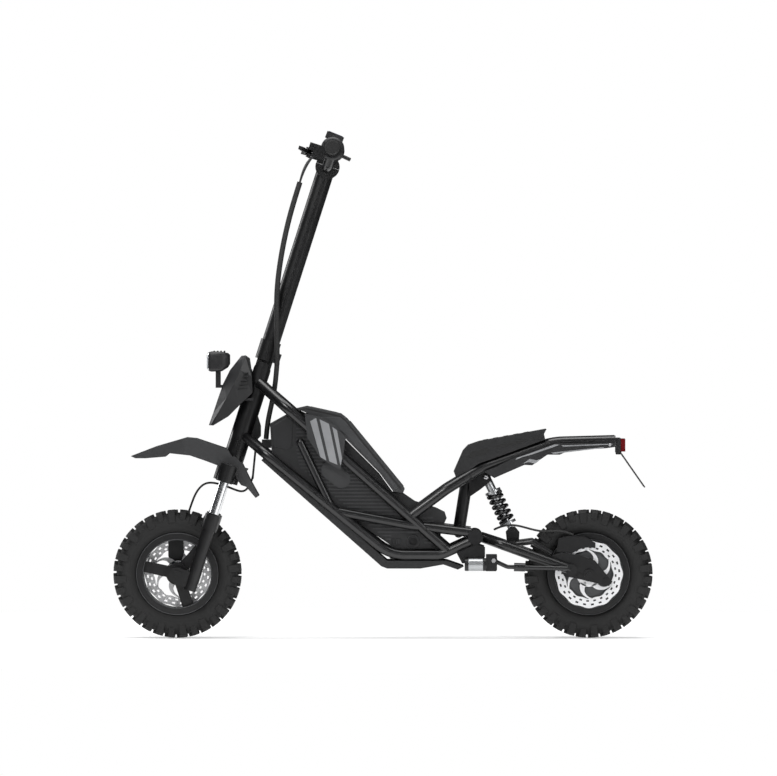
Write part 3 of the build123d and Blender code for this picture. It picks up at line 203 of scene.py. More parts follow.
def soften(name, width, angle=38):
    """Rounds the node's sharp edges in the render."""
    mod = nodes[name].modifiers.new("edge", "BEVEL")
    mod.width = width
    mod.segments = 3
    mod.limit_method = "ANGLE"
    mod.angle_limit = radians(angle)


for name, width in [("front_mask", 0.0035), ("battery_top_cover", 0.004), ("seat_cowl", 0.004),
                    ("front_fender", 0.0015), ("tail_fairings", 0.001), ("battery_case", 0.003),
                    ("headlight_housing", 0.002), ("tail_light_lens", 0.002), ("side_panels", 0.001),
                    ("front_caliper", 0.0015), ("rear_caliper", 0.0015), ("front_rim", 0.002),
                    ("display", 0.0015)]:
    soften(name, width)


# ---- mesh helpers ----
def piece(name, verts, faces, mat, smooth=True):
    """A mesh object from points in metres, with its faces turned outwards."""
    mesh = bpy.data.meshes.new(name)
    mesh.from_pydata([tuple(v) for v in verts], [], faces)
    mesh.validate()
    work = bmesh.new()
    work.from_mesh(mesh)
    bmesh.ops.recalc_face_normals(work, faces=work.faces)
    work.to_mesh(mesh)
    work.free()
    mesh.materials.append(mat)
    for poly in mesh.polygons:
        poly.use_smooth = smooth
    made = bpy.data.objects.new(name, mesh)
    bpy.context.scene.collection.objects.link(made)
    return made


def bevel(made, width, segments=2):
    """Rounds a piece's sharp edges."""
    mod = made.modifiers.new("edge", "BEVEL")
    mod.width = width
    mod.segments = segments
    mod.limit_method = "ANGLE"
    mod.angle_limit = radians(35)
    return made


def prism(outline, y_from, y_to, verts, faces):
    """Adds a plate with an (x, z) outline in millimetres between two Y values."""
    start = len(verts)
    count = len(outline)
    for y in (y_from, y_to):
        for x, z in outline:
            verts.append((x / 1000, y / 1000, z / 1000))
    faces.append(list(range(start, start + count)))
    faces.append(list(range(start + 2 * count - 1, start + count - 1, -1)))
    for i in range(count):
        j = (i + 1) % count
        faces.append([start + i, start + j, start + count + j, start + count + i])


def lathe(profile, centre, count, verts, faces):
    """Adds a ring: (radius, y) points turned about an axis along Y through centre (x, z)."""
    start = len(verts)
    rows = len(profile)
    for i in range(count):
        turn = 2 * pi * i / count
        for r, y in profile:
            verts.append((centre[0] + r * cos(turn), y, centre[1] + r * sin(turn)))
    for i in range(count):
        j = (i + 1) % count
        for k in range(rows):
            m = (k + 1) % rows
            faces.append([start + i * rows + k, start + i * rows + m,
                          start + j * rows + m, start + j * rows + k])


def collar(inner, outer, y_from, y_to, centre, count, verts, faces):
    """Adds a plain ring along Y, or a stud when its inner radius is AXIS_R."""
    lathe([(inner, y_from), (outer, y_from), (outer, y_to), (inner, y_to)], centre, count, verts, faces)


def tube(name, route, radius, mat):
    """A round cord along one smooth curve whose control points are in millimetres."""
    curve = bpy.data.curves.new(name, "CURVE")
    curve.dimensions = "3D"
    curve.bevel_depth = radius
    curve.bevel_resolution = 5
    curve.resolution_u = 10
    curve.use_fill_caps = True
    line = curve.splines.new("NURBS")
    line.points.add(len(route) - 1)
    for point, (x, y, z) in zip(line.points, route):
        point.co = (x / 1000, y / 1000, z / 1000, 1)
    line.order_u = 4
    line.use_endpoint_u = True
    holder = bpy.data.objects.new(name + "_line", curve)
    bpy.context.scene.collection.objects.link(holder)
    mesh = bpy.data.meshes.new_from_object(holder)
    bpy.data.objects.remove(holder)
    mesh.materials.clear()
    mesh.materials.append(mat)
    for poly in mesh.polygons:
        poly.use_smooth = True
    made = bpy.data.objects.new(name, mesh)
    bpy.context.scene.collection.objects.link(made)
    return made


# ---- tyres ----
CARCASS = [
    (92, 27), (98, 27), (101, 36), (111, 41.5), (120, 42.8), (129, 41), (137, 36), (142, 27), (144, 14),
    (144, 0),
]


def knob(verts, faces, centre, turn, half, shape):
    """One tread block: (radius, y) corners, half its width as an angle."""
    start = len(verts)
    for side in (-1, 1):
        for index, (r, y) in enumerate(shape):
            taper = 1.0 if index in (0, len(shape) - 1) else 0.86
            a = turn + side * half * taper
            verts.append((centre[0] + r / 1000 * cos(a), y / 1000, centre[1] + r / 1000 * sin(a)))
    count = len(shape)
    faces.append(list(range(start, start + count)))
    faces.append(list(range(start + 2 * count - 1, start + count - 1, -1)))
    for i in range(count):
        j = (i + 1) % count
        faces.append([start + i, start + j, start + count + j, start + count + i])


def knobby(name, end, body):
    """A tyre: carcass, tread blocks in two widths and raised sidewall rings."""
    centre = AXLES[end]
    verts = []
    faces = []
    ring = [(r / 1000, y / 1000) for r, y in CARCASS]
    ring += [(r / 1000, -y / 1000) for r, y in reversed(CARCASS[:-1])]
    lathe(ring, centre, 128, verts, faces)
    carcass = piece(name + "_carcass", verts, faces, TYRE)
    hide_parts(name)
    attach(carcass, body)
    verts = []
    faces = []
    count = 32
    step = 2 * pi / count
    for i in range(count):
        turn = step * i
        for side in (-1, 1):
            middle = [(139.5, side * 2), (151.4, side * 3), (151.3, side * 20), (139, side * 22)]
            knob(verts, faces, centre, turn + side * step * 0.12 + step * 0.38, step * 0.34, middle)
            wide = i % 2 == 0
            outer = 45.0 if wide else 43.6
            low = 117 if wide else 127
            shoulder = [(136.5, side * 25.5), (151.0, side * 26.5), (149.6, side * 37), (145, side * 43.5),
                        (low + 5, side * outer), (low, side * 41), (128, side * 36)]
            knob(verts, faces, centre, turn + step * 0.5, step * (0.36 if wide else 0.31), shoulder)
    blocks = bevel(piece(name + "_knobs", verts, faces, TYRE, smooth=False), 0.0009)
    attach(blocks, body)
    verts = []
    faces = []
    rise = 0.0008
    for side in (-1, 1):
        for r, base in ((0.1035, 0.0368), (0.1065, 0.0384), (0.1130, 0.0414)):
            lathe([(r - rise, side * base), (r, side * (base + rise)), (r + rise, side * base),
                   (r, side * (base - 0.003))], centre, 128, verts, faces)
    ribs = piece(name + "_sidewall_rings", verts, faces, TYRE)
    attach(ribs, body)


knobby("front_tyre", "front", "front_wheel")
knobby("rear_tyre", "rear", "rear_wheel")


# ---- brake discs ----
def brake_disc(name, end, y_from, body, waves=12):
    """A wavy slotted disc: the band between its edges and holes, with curved arms to the hub."""
    centre = AXLES[end]
    thick = 0.002
    rows = [57.0, 61.0, 65.0, 69.5, 74.0, 80.0]
    count = 192
    verts = []
    faces = []
    for side in (0, 1):
        for k, r in enumerate(rows):
            for i in range(count):
                a = 2 * pi * i / count
                radius = r
                if k >= 4:
                    radius = r - 2.6 * (k - 3.4) * (0.5 - 0.5 * cos(waves * a)) * 0.62
                if k == 0:
                    radius = r + 1.2 * cos(waves * a)
                verts.append((centre[0] + radius / 1000 * cos(a), y_from + side * thick,
                              centre[1] + radius / 1000 * sin(a)))

    def at(side, k, i):
        return side * len(rows) * count + k * count + i % count

    def open_cell(k, i):
        if k in (0, 5):
            return False
        phase = (i + k * 3) % 8
        return (k == 1 and phase in (0, 1, 2)) or (k == 3 and phase in (3, 4, 5))

    cells = len(rows) - 1
    for k in range(cells):
        for i in range(count):
            if open_cell(k, i):
                continue
            faces.append([at(0, k, i), at(0, k, i + 1), at(0, k + 1, i + 1), at(0, k + 1, i)])
            faces.append([at(1, k, i), at(1, k + 1, i), at(1, k + 1, i + 1), at(1, k, i + 1)])
            if open_cell(k, (i + 1) % count):
                faces.append([at(0, k, i + 1), at(1, k, i + 1), at(1, k + 1, i + 1), at(0, k + 1, i + 1)])
            if open_cell(k, (i - 1) % count):
                faces.append([at(0, k, i), at(0, k + 1, i), at(1, k + 1, i), at(1, k, i)])
            if k == 0 or open_cell(k - 1, i):
                faces.append([at(0, k, i), at(1, k, i), at(1, k, i + 1), at(0, k, i + 1)])
            if k == cells - 1 or open_cell(k + 1, i):
                faces.append([at(0, k + 1, i), at(0, k + 1, i + 1), at(1, k + 1, i + 1), at(1, k + 1, i)])
    arms = 6
    for n in range(arms):
        base = 2 * pi * n / arms
        start = len(verts)
        steps = 8
        for j in range(steps + 1):
            t = j / steps
            r = 27.0 + 31.5 * t
            a = base + 0.62 * t * t
            half = (7.5 - 3.5 * t) / r
            for side in (0, 1):
                for edge in (-1, 1):
                    verts.append((centre[0] + r / 1000 * cos(a + edge * half), y_from + side * thick,
                                  centre[1] + r / 1000 * sin(a + edge * half)))
        for j in range(steps):
            o = start + 4 * j
            faces += [[o, o + 1, o + 5, o + 4], [o + 2, o + 6, o + 7, o + 3],
                      [o, o + 4, o + 6, o + 2], [o + 1, o + 3, o + 7, o + 5]]
        end_at = len(verts) - 4
        faces += [[start, start + 2, start + 3, start + 1], [end_at, end_at + 1, end_at + 3, end_at + 2]]
    collar(0.0172, 0.0295, y_from, y_from + thick, centre, 64, verts, faces)
    disc = piece(end + "_disc", verts, faces, STEEL, smooth=False)
    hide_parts(name)
    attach(disc, body)
    verts = []
    faces = []
    for n in range(6):
        a = 2 * pi * (n + 0.1) / 6
        spot = (centre[0] + 0.0235 * cos(a), centre[1] + 0.0235 * sin(a))
        y = y_from - 0.0012 if end == "rear" else y_from + thick + 0.0012
        low, high = sorted((y, y_from + thick / 2))
        collar(AXIS_R, 0.0034, low, high, spot, 12, verts, faces)
    bolts = piece(end + "_disc_bolts", verts, faces, BRUSHED, smooth=False)
    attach(bolts, body)


brake_disc("front_brake_disc", "front", 0.039, "front_wheel")
brake_disc("rear_brake_disc", "rear", -0.057, "rear_wheel")

# ---- hub motor cover ----
verts = []
faces = []
hub_face = [(0.0175, -0.0430), (0.0175, -0.0470), (0.052, -0.0470), (0.060, -0.0445), (0.064, -0.0430)]
lathe(hub_face, AXLES["rear"], 96, verts, faces)
for n in range(9):
    a = 2 * pi * n / 9
    spot = (AXLES["rear"][0] + 0.046 * cos(a), AXLES["rear"][1] + 0.046 * sin(a))
    collar(AXIS_R, 0.0030, -0.0465, -0.0492, spot, 6, verts, faces)
hub_cover = piece("hub_cover", verts, faces, HUB_GREY, smooth=False)
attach(hub_cover, "rear_wheel")

# ---- rims: raised lips in a lighter grey, a painted highlight on the rim edges ----
for end, body in (("front", "front_wheel"), ("rear", "rear_wheel")):
    verts = []
    faces = []
    for side in (-1, 1):
        y = side * 0.031
        lathe([(0.0796, y), (0.0812, y + side * 0.0008), (0.0822, y)], AXLES[end], 128, verts, faces)
        lathe([(0.0950, y), (0.0964, y + side * 0.0010), (0.0974, y)], AXLES[end], 128, verts, faces)
    # painted highlight: the lips take the lighter casting grey so the rim edges look lit
    lip_highlights = piece(end + "_rim_lip_highlights", verts, faces, HUB_GREY)
    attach(lip_highlights, body)

# ---- front mask ----
FRONT = [(-411, 502), (-401, 530), (-389, 566), (-377, 600), (-361, 632), (-334, 666)]
CREASE = [(-407, 502), (-389, 531), (-368, 567), (-352, 598), (-336, 632), (-325, 667)]
REAR = [(-401, 501), (-366, 522), (-338, 550), (-307, 579), (-309, 618), (-315, 660)]


def strip(rows, verts, faces):
    """Adds quads between equal rows of points in millimetres."""
    start = len(verts)
    for row in rows:
        for x, y, z in row:
            verts.append((x / 1000, y / 1000, z / 1000))
    wide = len(rows[0])
    for k in range(len(rows) - 1):
        for i in range(wide - 1):
            o = start + k * wide + i
            faces.append([o, o + 1, o + wide + 1, o + wide])


def shell(made, thick):
    """Gives a surface a wall thickness, inwards."""
    mod = made.modifiers.new("wall", "SOLIDIFY")
    mod.thickness = thick
    mod.offset = -1
    return made


verts = []
faces = []
rear_half = [26, 40, 45, 46, 44, 34]
crease_half = [22, 34, 38, 39, 36, 27]
front_half = [8, 11, 14, 15, 14, 10]
rows = [
    [(x, -h, z) for (x, z), h in zip(REAR, rear_half)],
    [(x, -h, z) for (x, z), h in zip(CREASE, crease_half)],
    [(x, -h, z) for (x, z), h in zip(FRONT, front_half)],
    [(x, h, z) for (x, z), h in zip(FRONT, front_half)],
    [(x, h, z) for (x, z), h in zip(CREASE, crease_half)],
    [(x, h, z) for (x, z), h in zip(REAR, rear_half)],
]
strip(rows, verts, faces)
mask = shell(piece("front_mask_shell", verts, faces, GREY, smooth=False), 0.003)
mask.data.materials.append(CHARCOAL)
for poly in mask.data.polygons:
    row = poly.index // 5
    if row in (0, 4):
        poly.material_index = 1
bevel(mask, 0.0012)
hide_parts("front_mask")
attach(mask, "frame")
verts = []
faces = []
for side in (-1, 1):
    for z in (588, 597, 606, 615, 624):
        low, high = sorted((side * 40.2, side * 44.0))
        lean = (z - 576) * 0.42
        prism([(-348 + lean, z), (-318, z), (-318, z + 2.6), (-347 + lean, z + 2.6)], low, high, verts, faces)
    low, high = sorted((side * 9.0, side * 40.0))
    prism([(-360, 560), (-306, 560), (-306, 566), (-360, 566)], low, high, verts, faces)
gills = piece("mask_gills", verts, faces, BLACK, smooth=False)
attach(gills, "frame")


# ---- headlight ----
def rounded(half_x, half_z, corner, count=5):
    """A rounded rectangle as (x, z) points."""
    points = []
    for quarter in range(4):
        sx = (1, -1, -1, 1)[quarter]
        sz = (1, 1, -1, -1)[quarter]
        for k in range(count + 1):
            a = pi / 2 * quarter + pi / 2 * k / count
            points.append((sx * (half_x - corner) + corner * cos(a),
                           sz * (half_z - corner) + corner * sin(a)))
    return points


def front_box(name, sections, corner, mat, body):
    """A lofted box: sections of (x, half y, half z, middle z) from front to back, in millimetres."""
    verts = []
    faces = []
    for x, half_y, half_z, mid in sections:
        for y, z in rounded(half_y, half_z, corner):
            verts.append((x / 1000, y / 1000, (mid + z) / 1000))
    wide = len(rounded(1, 1, 0.1))
    for k in range(len(sections) - 1):
        for i in range(wide):
            j = (i + 1) % wide
            faces.append([k * wide + i, k * wide + j, (k + 1) * wide + j, (k + 1) * wide + i])
    faces.append(list(range(wide)))
    faces.append(list(range(len(verts) - 1, len(verts) - wide - 1, -1)))
    made = bevel(piece(name, verts, faces, mat), 0.0012)
    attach(made, body)
    return made


body_sections = [(-411, 29, 22, 652), (-405, 31, 24, 652), (-380, 30, 23, 652), (-366, 24, 17, 655),
                 (-361, 17, 11, 657)]
lamp_body = front_box("lamp_body", body_sections, 8, BLACK, "headlight")
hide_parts("headlight_housing")
rim_sections = [(-413.0, 27.5, 20.5, 652), (-410.5, 28.5, 21.5, 652)]
front_box("lamp_rim", rim_sections, 7, CHROME, "headlight")
glass_sections = [(-415.5, 22, 15.5, 652), (-413.5, 25, 18.5, 652), (-412.0, 25.5, 19, 652)]
lamp_glass = front_box("lamp_glass", glass_sections, 7, LENS, "headlight")
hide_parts("headlight_lens")
verts = []
faces = []
lug = [(-395, 636), (-383, 636), (-383, 628), (-387, 624), (-391, 624), (-395, 628)]
prism(lug, -3.6, 3.6, verts, faces)
for x in (-400, -392, -384, -376):
    prism([(x, 672), (x + 3.5, 672), (x + 3.5, 677.5), (x, 677.5)], -22, 22, verts, faces)
lamp_lug = bevel(piece("lamp_lug_and_fins", verts, faces, BLACK, smooth=False), 0.0006)
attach(lamp_lug, "headlight")

# ---- bar controls ----
verts = []
faces = []
BAR_END = (-0.11798, 1.15207)
for side in (-1, 1):
    pod = [(0.0128, 0.131), (0.0235, 0.131), (0.0268, 0.134), (0.0275, 0.140), (0.0275, 0.152),
           (0.0262, 0.158), (0.0228, 0.161), (0.0128, 0.161)]
    if side > 0:
        pod = [(0.0128, 0.131), (0.0235, 0.131), (0.0262, 0.134), (0.0265, 0.138), (0.0265, 0.1475),
               (0.0128, 0.1478)]
    lathe([(r, side * y) for r, y in pod], BAR_END, 48, verts, faces)
pods = piece("control_pods", verts, faces, CHARCOAL)
bevel(pods, 0.0005)
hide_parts("bar_controls")
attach(pods, "stem")
verts = []
faces = []
for k, (x, z) in enumerate(((-0.134, 1.166), (-0.139, 1.152), (-0.134, 1.138))):
    collar(AXIS_R, 0.0036, -0.1605, -0.1632, (x + 0.0005 * k, z), 14, verts, faces)
keys = piece("pod_keys", verts, faces, BLACK)
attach(keys, "stem")
verts = []
faces = []
for side in (-1, 1):
    ridge = [(0.0128, side * 0.2055)]
    y = 0.2055
    while y < 0.3230:
        ridge += [(0.0163, side * y), (0.0163, side * (y + 0.0022)),
                  (0.0152, side * (y + 0.0028)), (0.0152, side * (y + 0.0040))]
        y += 0.0046
    ridge += [(0.0163, side * 0.3245), (0.0158, side * 0.3285), (0.0128, side * 0.3289)]
    lathe(ridge, BAR_END, 48, verts, faces)
    flange = [(0.0128, 0.2012), (0.0185, 0.2012), (0.0185, 0.2048), (0.0128, 0.2052)]
    lathe([(r, side * along) for r, along in flange], BAR_END, 48, verts, faces)
    collar(AXIS_R, 0.0132, side * 0.3220, side * 0.3287, BAR_END, 32, verts, faces)
grips = piece("ribbed_grips", verts, faces, RUBBER, smooth=False)
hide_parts("grips")
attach(grips, "stem")

# ---- shock spring ----
top_eye = Vector((242.6, 0, 379.7))
shock_way = Vector((63.3, 0, -131.2)).normalized()
shock_side = Vector((-shock_way.z, 0, shock_way.x))
helix = []
turns = 5.75
steps = 12
COIL_R = 15.6 * 1.02
COIL_TOP = 45.8
COIL_END = 114.2
for i in range(int(turns * steps) + 1):
    t = i / steps
    rise = COIL_TOP + (COIL_END - COIL_TOP) * min(1.0, max(0.0, (t - 0.35) / (turns - 0.7)))
    a = 2 * pi * t
    spot = top_eye + shock_way * rise + shock_side * (COIL_R * cos(a)) + Vector((0, COIL_R * sin(a), 0))
    helix.append(tuple(spot))
spring = tube("shock_coil", helix, 0.0047, SPRING)
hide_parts("shock_spring")
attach(spring, "shock_body")
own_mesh(spring)

# ---- cables and hoses ----
sleeve_route = [
    (-196, -14, 1075), (-209, -16, 1034), (-222, -20, 989), (-236, -26, 926), (-246, -33, 863),
    (-250, -37, 818), (-251, -38, 773), (-249, -37, 705), (-250, -33, 645),
]
sleeve = tube("cable_sleeve", list(reversed(sleeve_route)), SLEEVE_R, RUBBER)
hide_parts("control_cables")
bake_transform(sleeve)
left_route = [
    (-151.5, -122.2, 1150.1), (-155, -98, 1147), (-170, -64, 1130), (-187, -34, 1103),
    (-195.8, -17.4, 1075.7),
]
right_route = [
    (-151.5, 122.2, 1150.1), (-157, 94, 1146), (-173, 56, 1133), (-188, 20, 1110), (-195.9, -10.6, 1075.5),
]
for name, route in [("left_cable", left_route), ("right_cable", right_route)]:
    cable = tube(name, route, HOSE_R, RUBBER)
    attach(cable, "stem")
harness_route = [
    (-250, -33, 645), (-253, -28, 604), (-259, -18, 568), (-266, -8, 538), (-273, -2, 506), (-276, 0, 469),
]
harness = tube("frame_harness", harness_route, HARNESS_R, RUBBER)
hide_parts("lower_harness")
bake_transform(harness)
top_route = [(-294, 12, 486), (-299, 12.5, 462), (-302, 13, 437), (-305, 14, 406), (-308, 15, 375)]
top_hose = tube("front_hose_top", top_route, HOSE_R, RUBBER)
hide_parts("front_brake_hose")
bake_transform(top_hose)
front_route = [
    (-307, 14.6, 385), (-308, 15, 375), (-322, 17, 338), (-352, 20, 350), (-389, 26, 364),
    (-421, 34, 368), (-444, 44, 343), (-457, 52, 303), (-470, 52, 268), (-482, 50, 240.8),
]
front_hose = tube("front_hose", front_route, HOSE_R, RUBBER)
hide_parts("front_brake_hose")
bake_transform(front_hose)
rear_route = [
    (262, -30, 256), (292, -46, 272), (336, -58, 262), (380, -60, 248), (420, -60, 257), (448, -58, 244.2),
]
rear_hose = tube("rear_hose", rear_route, HOSE_R, RUBBER)
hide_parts("rear_brake_hose")
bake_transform(rear_hose)


# ---- battery case ribs ----
def spans(outline, z):
    """Where a level line crosses a closed outline, as sorted x values."""
    hits = []
    for (x0, z0), (x1, z1) in zip(outline, outline[1:] + outline[:1]):
        if (z0 <= z < z1) or (z1 <= z < z0):
            hits.append(x0 + (x1 - x0) * (z - z0) / (z1 - z0))
    return sorted(hits)


case_field = [(-205, 505), (-104, 452), (-24, 370), (10, 330), (60, 300), (118, 284), (124, 262),
              (112, 222), (100, 217), (88, 246), (20, 246), (20, 222), (-42, 272), (-196, 402), (-204, 438)]
for side in (-1, 1):
    verts = []
    faces = []
    z = 224.0
    while z < 502:
        hits = spans(case_field, z)
        for a, b in zip(hits[::2], hits[1::2]):
            if b - a > 8:
                low, high = sorted((side * (CASE_SIDE + 0.2), side * (CASE_SIDE + 2.6)))
                prism([(a, z), (b, z), (b - 0.5, z + 3.6), (a + 0.5, z + 3.6)], low, high, verts, faces)
        z += 8.4
    ribs = piece("case_ribs_" + ("left" if side < 0 else "right"), verts, faces, GREY, smooth=False)
    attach(ribs, "frame")

# ---- battery top cover: raised faces, seams and top pads ----
cover_face = [(-150, 522), (-101, 522), (-88, 511), (20, 374), (36, 356), (28, 352), (2, 386), (-92, 484),
              (-140, 514)]
cover_seam = [(-200, 538), (-181, 543.5), (-101, 525.5), (-87, 514.5), (40, 359), (44, 351), (42, 350),
              (36, 358), (-89, 511), (-102, 522), (-181, 540), (-196, 536)]
verts = []
faces = []
for side in (-1, 1):
    low, high = sorted((side * COVER_SIDE, side * (COVER_SIDE + 2.2)))
    prism(cover_face, low, high, verts, faces)
face_piece = bevel(piece("cover_face", verts, faces, COVER, smooth=False), 0.0010)
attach(face_piece, "frame")
verts = []
faces = []
for side in (-1, 1):
    low, high = sorted((side * COVER_SIDE, side * (COVER_SIDE + 1.5)))
    prism(cover_seam, low, high, verts, faces)
seam_piece = piece("cover_seams", verts, faces, SEAM_AND_SHADE, smooth=False)
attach(seam_piece, "frame")
verts = []
faces = []
prism([(-73.4, 502.5), (39.3, 364.7), (41.5, 366.4), (-71.2, 504.2)], -46, 46, verts, faces)
prism([(-171.0, 543.9), (-107.5, 529.8), (-107.1, 531.9), (-170.6, 546.0)], -40, 40, verts, faces)
for side in (-1, 1):
    low, high = sorted((side * 56, side * 63))
    prism([(-79.7, 510.2), (47.0, 355.3), (49.3, 357.2), (-77.4, 512.1)], low, high, verts, faces)
cover_pads = bevel(piece("cover_pads", verts, faces, COVER, smooth=False), 0.0012)
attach(cover_pads, "frame")

# ---- battery case: front pad, step, switch bars and charge ring ----
case_front = [(-262, 500), (-212, 530), (-214, 452), (-226, 446), (-258, 452)]
case_step = [(-104, 452), (-98, 456), (-14, 372), (20, 330), (14, 326), (-22, 366)]
verts = []
faces = []
for side in (-1, 1):
    low, high = sorted((side * CASE_SIDE, side * (CASE_SIDE + 3.2)))
    prism(case_front, low, high, verts, faces)
    prism(case_step, low, high, verts, faces)
    low, high = sorted((side * CASE_SIDE, side * (CASE_SIDE + 4.0)))
    for x in (22, 30):
        prism([(x, 221), (x + 3.5, 221), (x + 3.5, 237), (x, 237)], low, high, verts, faces)
    collar(0.0126, 0.0160, side * 0.0675, side * 0.0705, (0.071, 0.229), 40, verts, faces)
case_trim = bevel(piece("case_trim", verts, faces, BLACK, smooth=False), 0.0008)
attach(case_trim, "frame")

# ---- seat cowl vents and creases as painted shade, tail fairing stripes and bolts ----
verts = []
faces = []
for side in (-1, 1):
    low, high = sorted((side * COWL_SIDE, side * (COWL_SIDE + 2.4)))
    prism([(196, 424), (208, 440), (240, 449), (252, 446), (246, 436), (214, 428)], low, high, verts, faces)
    prism([(262, 454), (330, 470), (338, 466), (330, 462), (268, 446)], low, high, verts, faces)
    prism([(346, 473), (376, 481), (378, 474), (352, 467)], low, high, verts, faces)
for k in range(5):
    x = 236 + 24 * k
    z = 467.5 + 4.4 * k
    prism([(x, z - 3), (x + 12, z - 0.8), (x + 12, z + 1.6), (x, z - 0.6)], -38, 38, verts, faces)
# painted shade: near-black plates stand in for the shade inside the cowl's vent recesses and creases
vent_shade = bevel(piece("cowl_vent_shade", verts, faces, SEAM_AND_SHADE, smooth=False), 0.0006)
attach(vent_shade, "frame")
verts = []
faces = []
for side in (-1, 1):
    low, high = sorted((side * FAIRING_SIDE, side * (FAIRING_SIDE + 1.4)))
    prism([(312, 421), (330, 428), (352, 434), (404, 452), (416, 457), (404, 457), (340, 434), (316, 426)],
          low, high, verts, faces)
    prism([(330, 412), (342, 416), (358, 412), (374, 424), (362, 420), (346, 423)], low, high, verts, faces)
    prism([(420, 455), (540, 459), (540, 457), (424, 452)], low, high, verts, faces)
    prism([(396, 438), (520, 451), (520, 449), (402, 435)], low, high, verts, faces)
stripes = bevel(piece("tail_stripes", verts, faces, BAND, smooth=False), 0.0004)
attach(stripes, "frame")
verts = []
faces = []
for side in (-1, 1):
    collar(AXIS_R, 0.0034, side * 0.0628, side * 0.0652, (0.534, 0.456), 12, verts, faces)
    collar(AXIS_R, 0.0062, side * 0.0160, side * 0.0262, (0.2426, 0.3797), 16, verts, faces)
tail_bolts = piece("tail_bolts", verts, faces, BRUSHED)
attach(tail_bolts, "frame")

# ---- display glass, its glints painted into a blue-purple colour ----
verts = []
for lift in (0.00885, 0.0094):
    for u, v in ((-0.0165, -0.0265), (0.0165, -0.0265), (0.0165, 0.0265), (-0.0165, 0.0265)):
        verts.append((-0.115 + u * cos(DISPLAY_TILT) + lift * sin(DISPLAY_TILT), 0.108 + v,
                      1.183 - u * sin(DISPLAY_TILT) + lift * cos(DISPLAY_TILT)))
faces = [[0, 1, 2, 3], [7, 6, 5, 4], [0, 1, 5, 4], [1, 2, 6, 5], [2, 3, 7, 6], [3, 0, 4, 7]]
glass = bevel(piece("display_glass", verts, faces, SCREEN_GLINTS, smooth=False), 0.0003)
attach(glass, "stem")


# ---- side stand barrel and hinge block ----
def turned(profile, start, way, count, verts, faces):
    """Adds a ring of (along, radius) points in metres about an axis from start."""
    way = Vector(way).normalized()
    first = way.orthogonal().normalized()
    second = way.cross(first)
    begin = len(verts)
    rows = len(profile)
    for i in range(count):
        a = 2 * pi * i / count
        out = first * cos(a) + second * sin(a)
        for along, radius in profile:
            verts.append(tuple(Vector(start) + way * along + out * radius))
    for i in range(count):
        j = (i + 1) % count
        for k in range(rows):
            m = (k + 1) % rows
            faces.append([begin + i * rows + k, begin + i * rows + m,
                          begin + j * rows + m, begin + j * rows + k])


barrel_at = (0.192, STAND_Y, 0.1755)
barrel_profile = [(0.008, 0.001), (0.008, 0.0145), (0.010, 0.0152), (0.042, 0.0152), (0.044, 0.0142),
                  (0.044, 0.001)]
front_ring = [(0.000, 0.001), (0.000, 0.0150), (0.009, 0.0155), (0.009, 0.001)]
rear_ring = [(0.043, 0.001), (0.043, 0.0155), (0.052, 0.0150), (0.052, 0.001)]
verts = []
faces = []
turned(barrel_profile, barrel_at, (1, 0, 0), 48, verts, faces)
barrel = piece("stand_barrel", verts, faces, SILVER, smooth=False)
bevel(barrel, 0.0004)
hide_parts("stand_mount")
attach(barrel, "frame")
verts = []
faces = []
for profile in (front_ring, rear_ring):
    turned(profile, barrel_at, (1, 0, 0), 48, verts, faces)
for low, high in ((-111, -105), (-93, -87)):
    prism([(242, 160), (266, 160), (268, 164), (268, 198), (265, 200), (242, 200)], low, high, verts, faces)
prism([(242, 196), (268, 196), (268, 200), (242, 200)], -105, -93, verts, faces)
stand_block = bevel(piece("stand_block", verts, faces, ALLOY, smooth=False), 0.0010)
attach(stand_block, "frame")
verts = []
faces = []
for side in (-1, 1):
    y = STAND_Y + side * 0.0118
    collar(AXIS_R, 0.0056, y, y + side * 0.0032, (0.260, 0.185), 6, verts, faces)
stand_bolts = piece("stand_bolts", verts, faces, BRUSHED, smooth=False)
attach(stand_bolts, "frame")

# ---- side panel bands ----
bands = [
    [(-171, 512), (-157, 520), (-133, 420), (-147, 428)],
    [(-149, 517), (-127, 506), (-107, 410), (-126, 418)],
    [(-119, 499), (-108, 491), (-96, 424), (-100, 408)],
]
verts = []
faces = []
for outline in bands:
    for side in (-1, 1):
        low, high = sorted((side * PANEL_SIDE, side * (PANEL_SIDE + 1.3)))
        prism(outline, low, high, verts, faces)
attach(bevel(piece("panel_bands", verts, faces, BAND, smooth=False), 0.0004), "frame")

# ---- floor, light and camera ----
floor_mesh = bpy.data.meshes.new("floor")
ring = [(FLOOR_R * cos(2 * pi * i / 96), FLOOR_R * sin(2 * pi * i / 96), -0.0005) for i in range(96)]
floor_mesh.from_pydata(ring, [], [list(range(96))])
floor = bpy.data.objects.new("floor", floor_mesh)
bpy.context.scene.collection.objects.link(floor)
floor_mat = bpy.data.materials.new("floor")
floor_mat.use_nodes = True
floor_shader = floor_mat.node_tree.nodes["Principled BSDF"]
floor_shader.inputs["Base Color"].default_value = (0.9, 0.9, 0.9, 1)
floor_shader.inputs["Roughness"].default_value = 0.75
floor_shader.inputs["Emission Color"].default_value = (1, 1, 1, 1)
floor_shader.inputs["Emission Strength"].default_value = 0.40
floor.data.materials.append(floor_mat)
floor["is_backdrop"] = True

world = bpy.data.worlds.new("studio")
bpy.context.scene.world = world
world.use_nodes = True
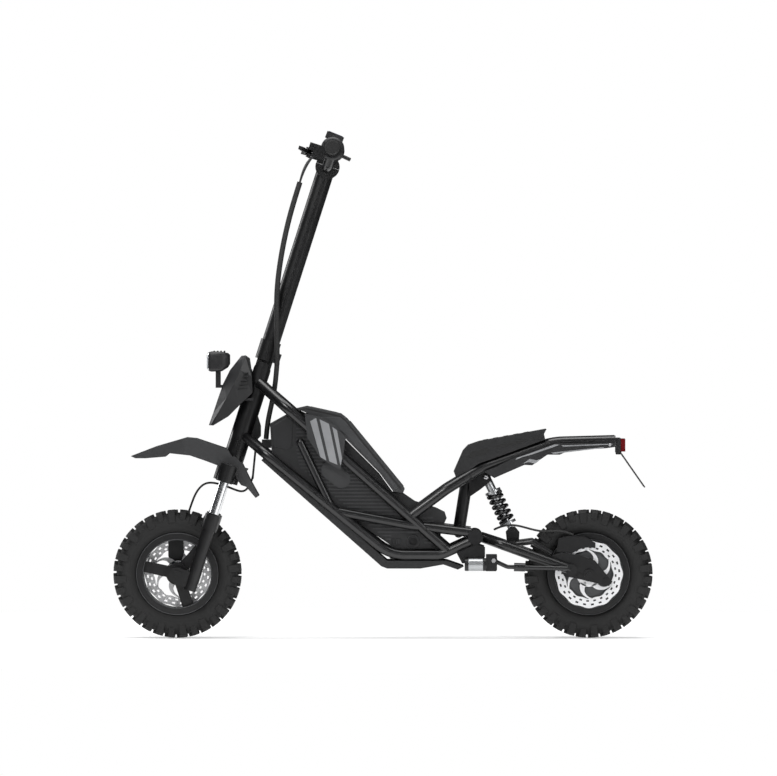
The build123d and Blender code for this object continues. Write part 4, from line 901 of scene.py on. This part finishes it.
sky = world.node_tree
backdrop = sky.nodes["Background"]
backdrop.inputs["Color"].default_value = (1, 1, 1, 1)
backdrop.inputs["Strength"].default_value = 1.0
studio = sky.nodes.new("ShaderNodeBackground")
studio.inputs["Color"].default_value = (0.92, 0.95, 1.0, 1)
studio.inputs["Strength"].default_value = 0.055
rays = sky.nodes.new("ShaderNodeLightPath")
pick = sky.nodes.new("ShaderNodeMixShader")
sky.links.new(rays.outputs["Is Camera Ray"], pick.inputs["Fac"])
sky.links.new(studio.outputs["Background"], pick.inputs[1])
sky.links.new(backdrop.outputs["Background"], pick.inputs[2])
sky.links.new(pick.outputs["Shader"], sky.nodes["World Output"].inputs["Surface"])


def lamp(name, place, aim, size, power):
    """A soft rectangular light aimed at a point."""
    data = bpy.data.lights.new(name, "AREA")
    data.shape = "RECTANGLE"
    data.size = size[0]
    data.size_y = size[1]
    data.energy = power
    made = bpy.data.objects.new(name, data)
    bpy.context.scene.collection.objects.link(made)
    made.location = place
    made.rotation_euler = (Vector(aim) - Vector(place)).to_track_quat("-Z", "Y").to_euler()


lamp("top", (0.0, 0.0, 3.6), (0, 0, 0.4), (3.4, 2.4), 120)
lamp("key", (-1.6, -3.0, 3.0), (0, 0, 0.5), (1.6, 1.2), 70)
lamp("side", (2.6, -2.6, 1.6), (0.1, 0, 0.5), (0.9, 2.2), 34)
lamp("front", (0.0, -5.0, 1.5), (0, 0, 0.5), (4.5, 0.22), 16)
lamp("rim", (-2.8, 1.6, 1.8), (-0.2, 0, 0.6), (0.9, 2.0), 34)

camera_data = bpy.data.cameras.new("camera")
camera_data.lens = 392.5
camera_data.sensor_width = 36.0
camera = bpy.data.objects.new("camera", camera_data)
bpy.context.scene.collection.objects.link(camera)
camera.location = (0.013, -20.0, 0.766)
target = Vector((0.013, 0, 0.5895))
camera.rotation_euler = (target - camera.location).to_track_quat("-Z", "Y").to_euler()
bpy.context.scene.camera = camera
bpy.context.scene.view_settings.view_transform = "Standard"

low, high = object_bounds()
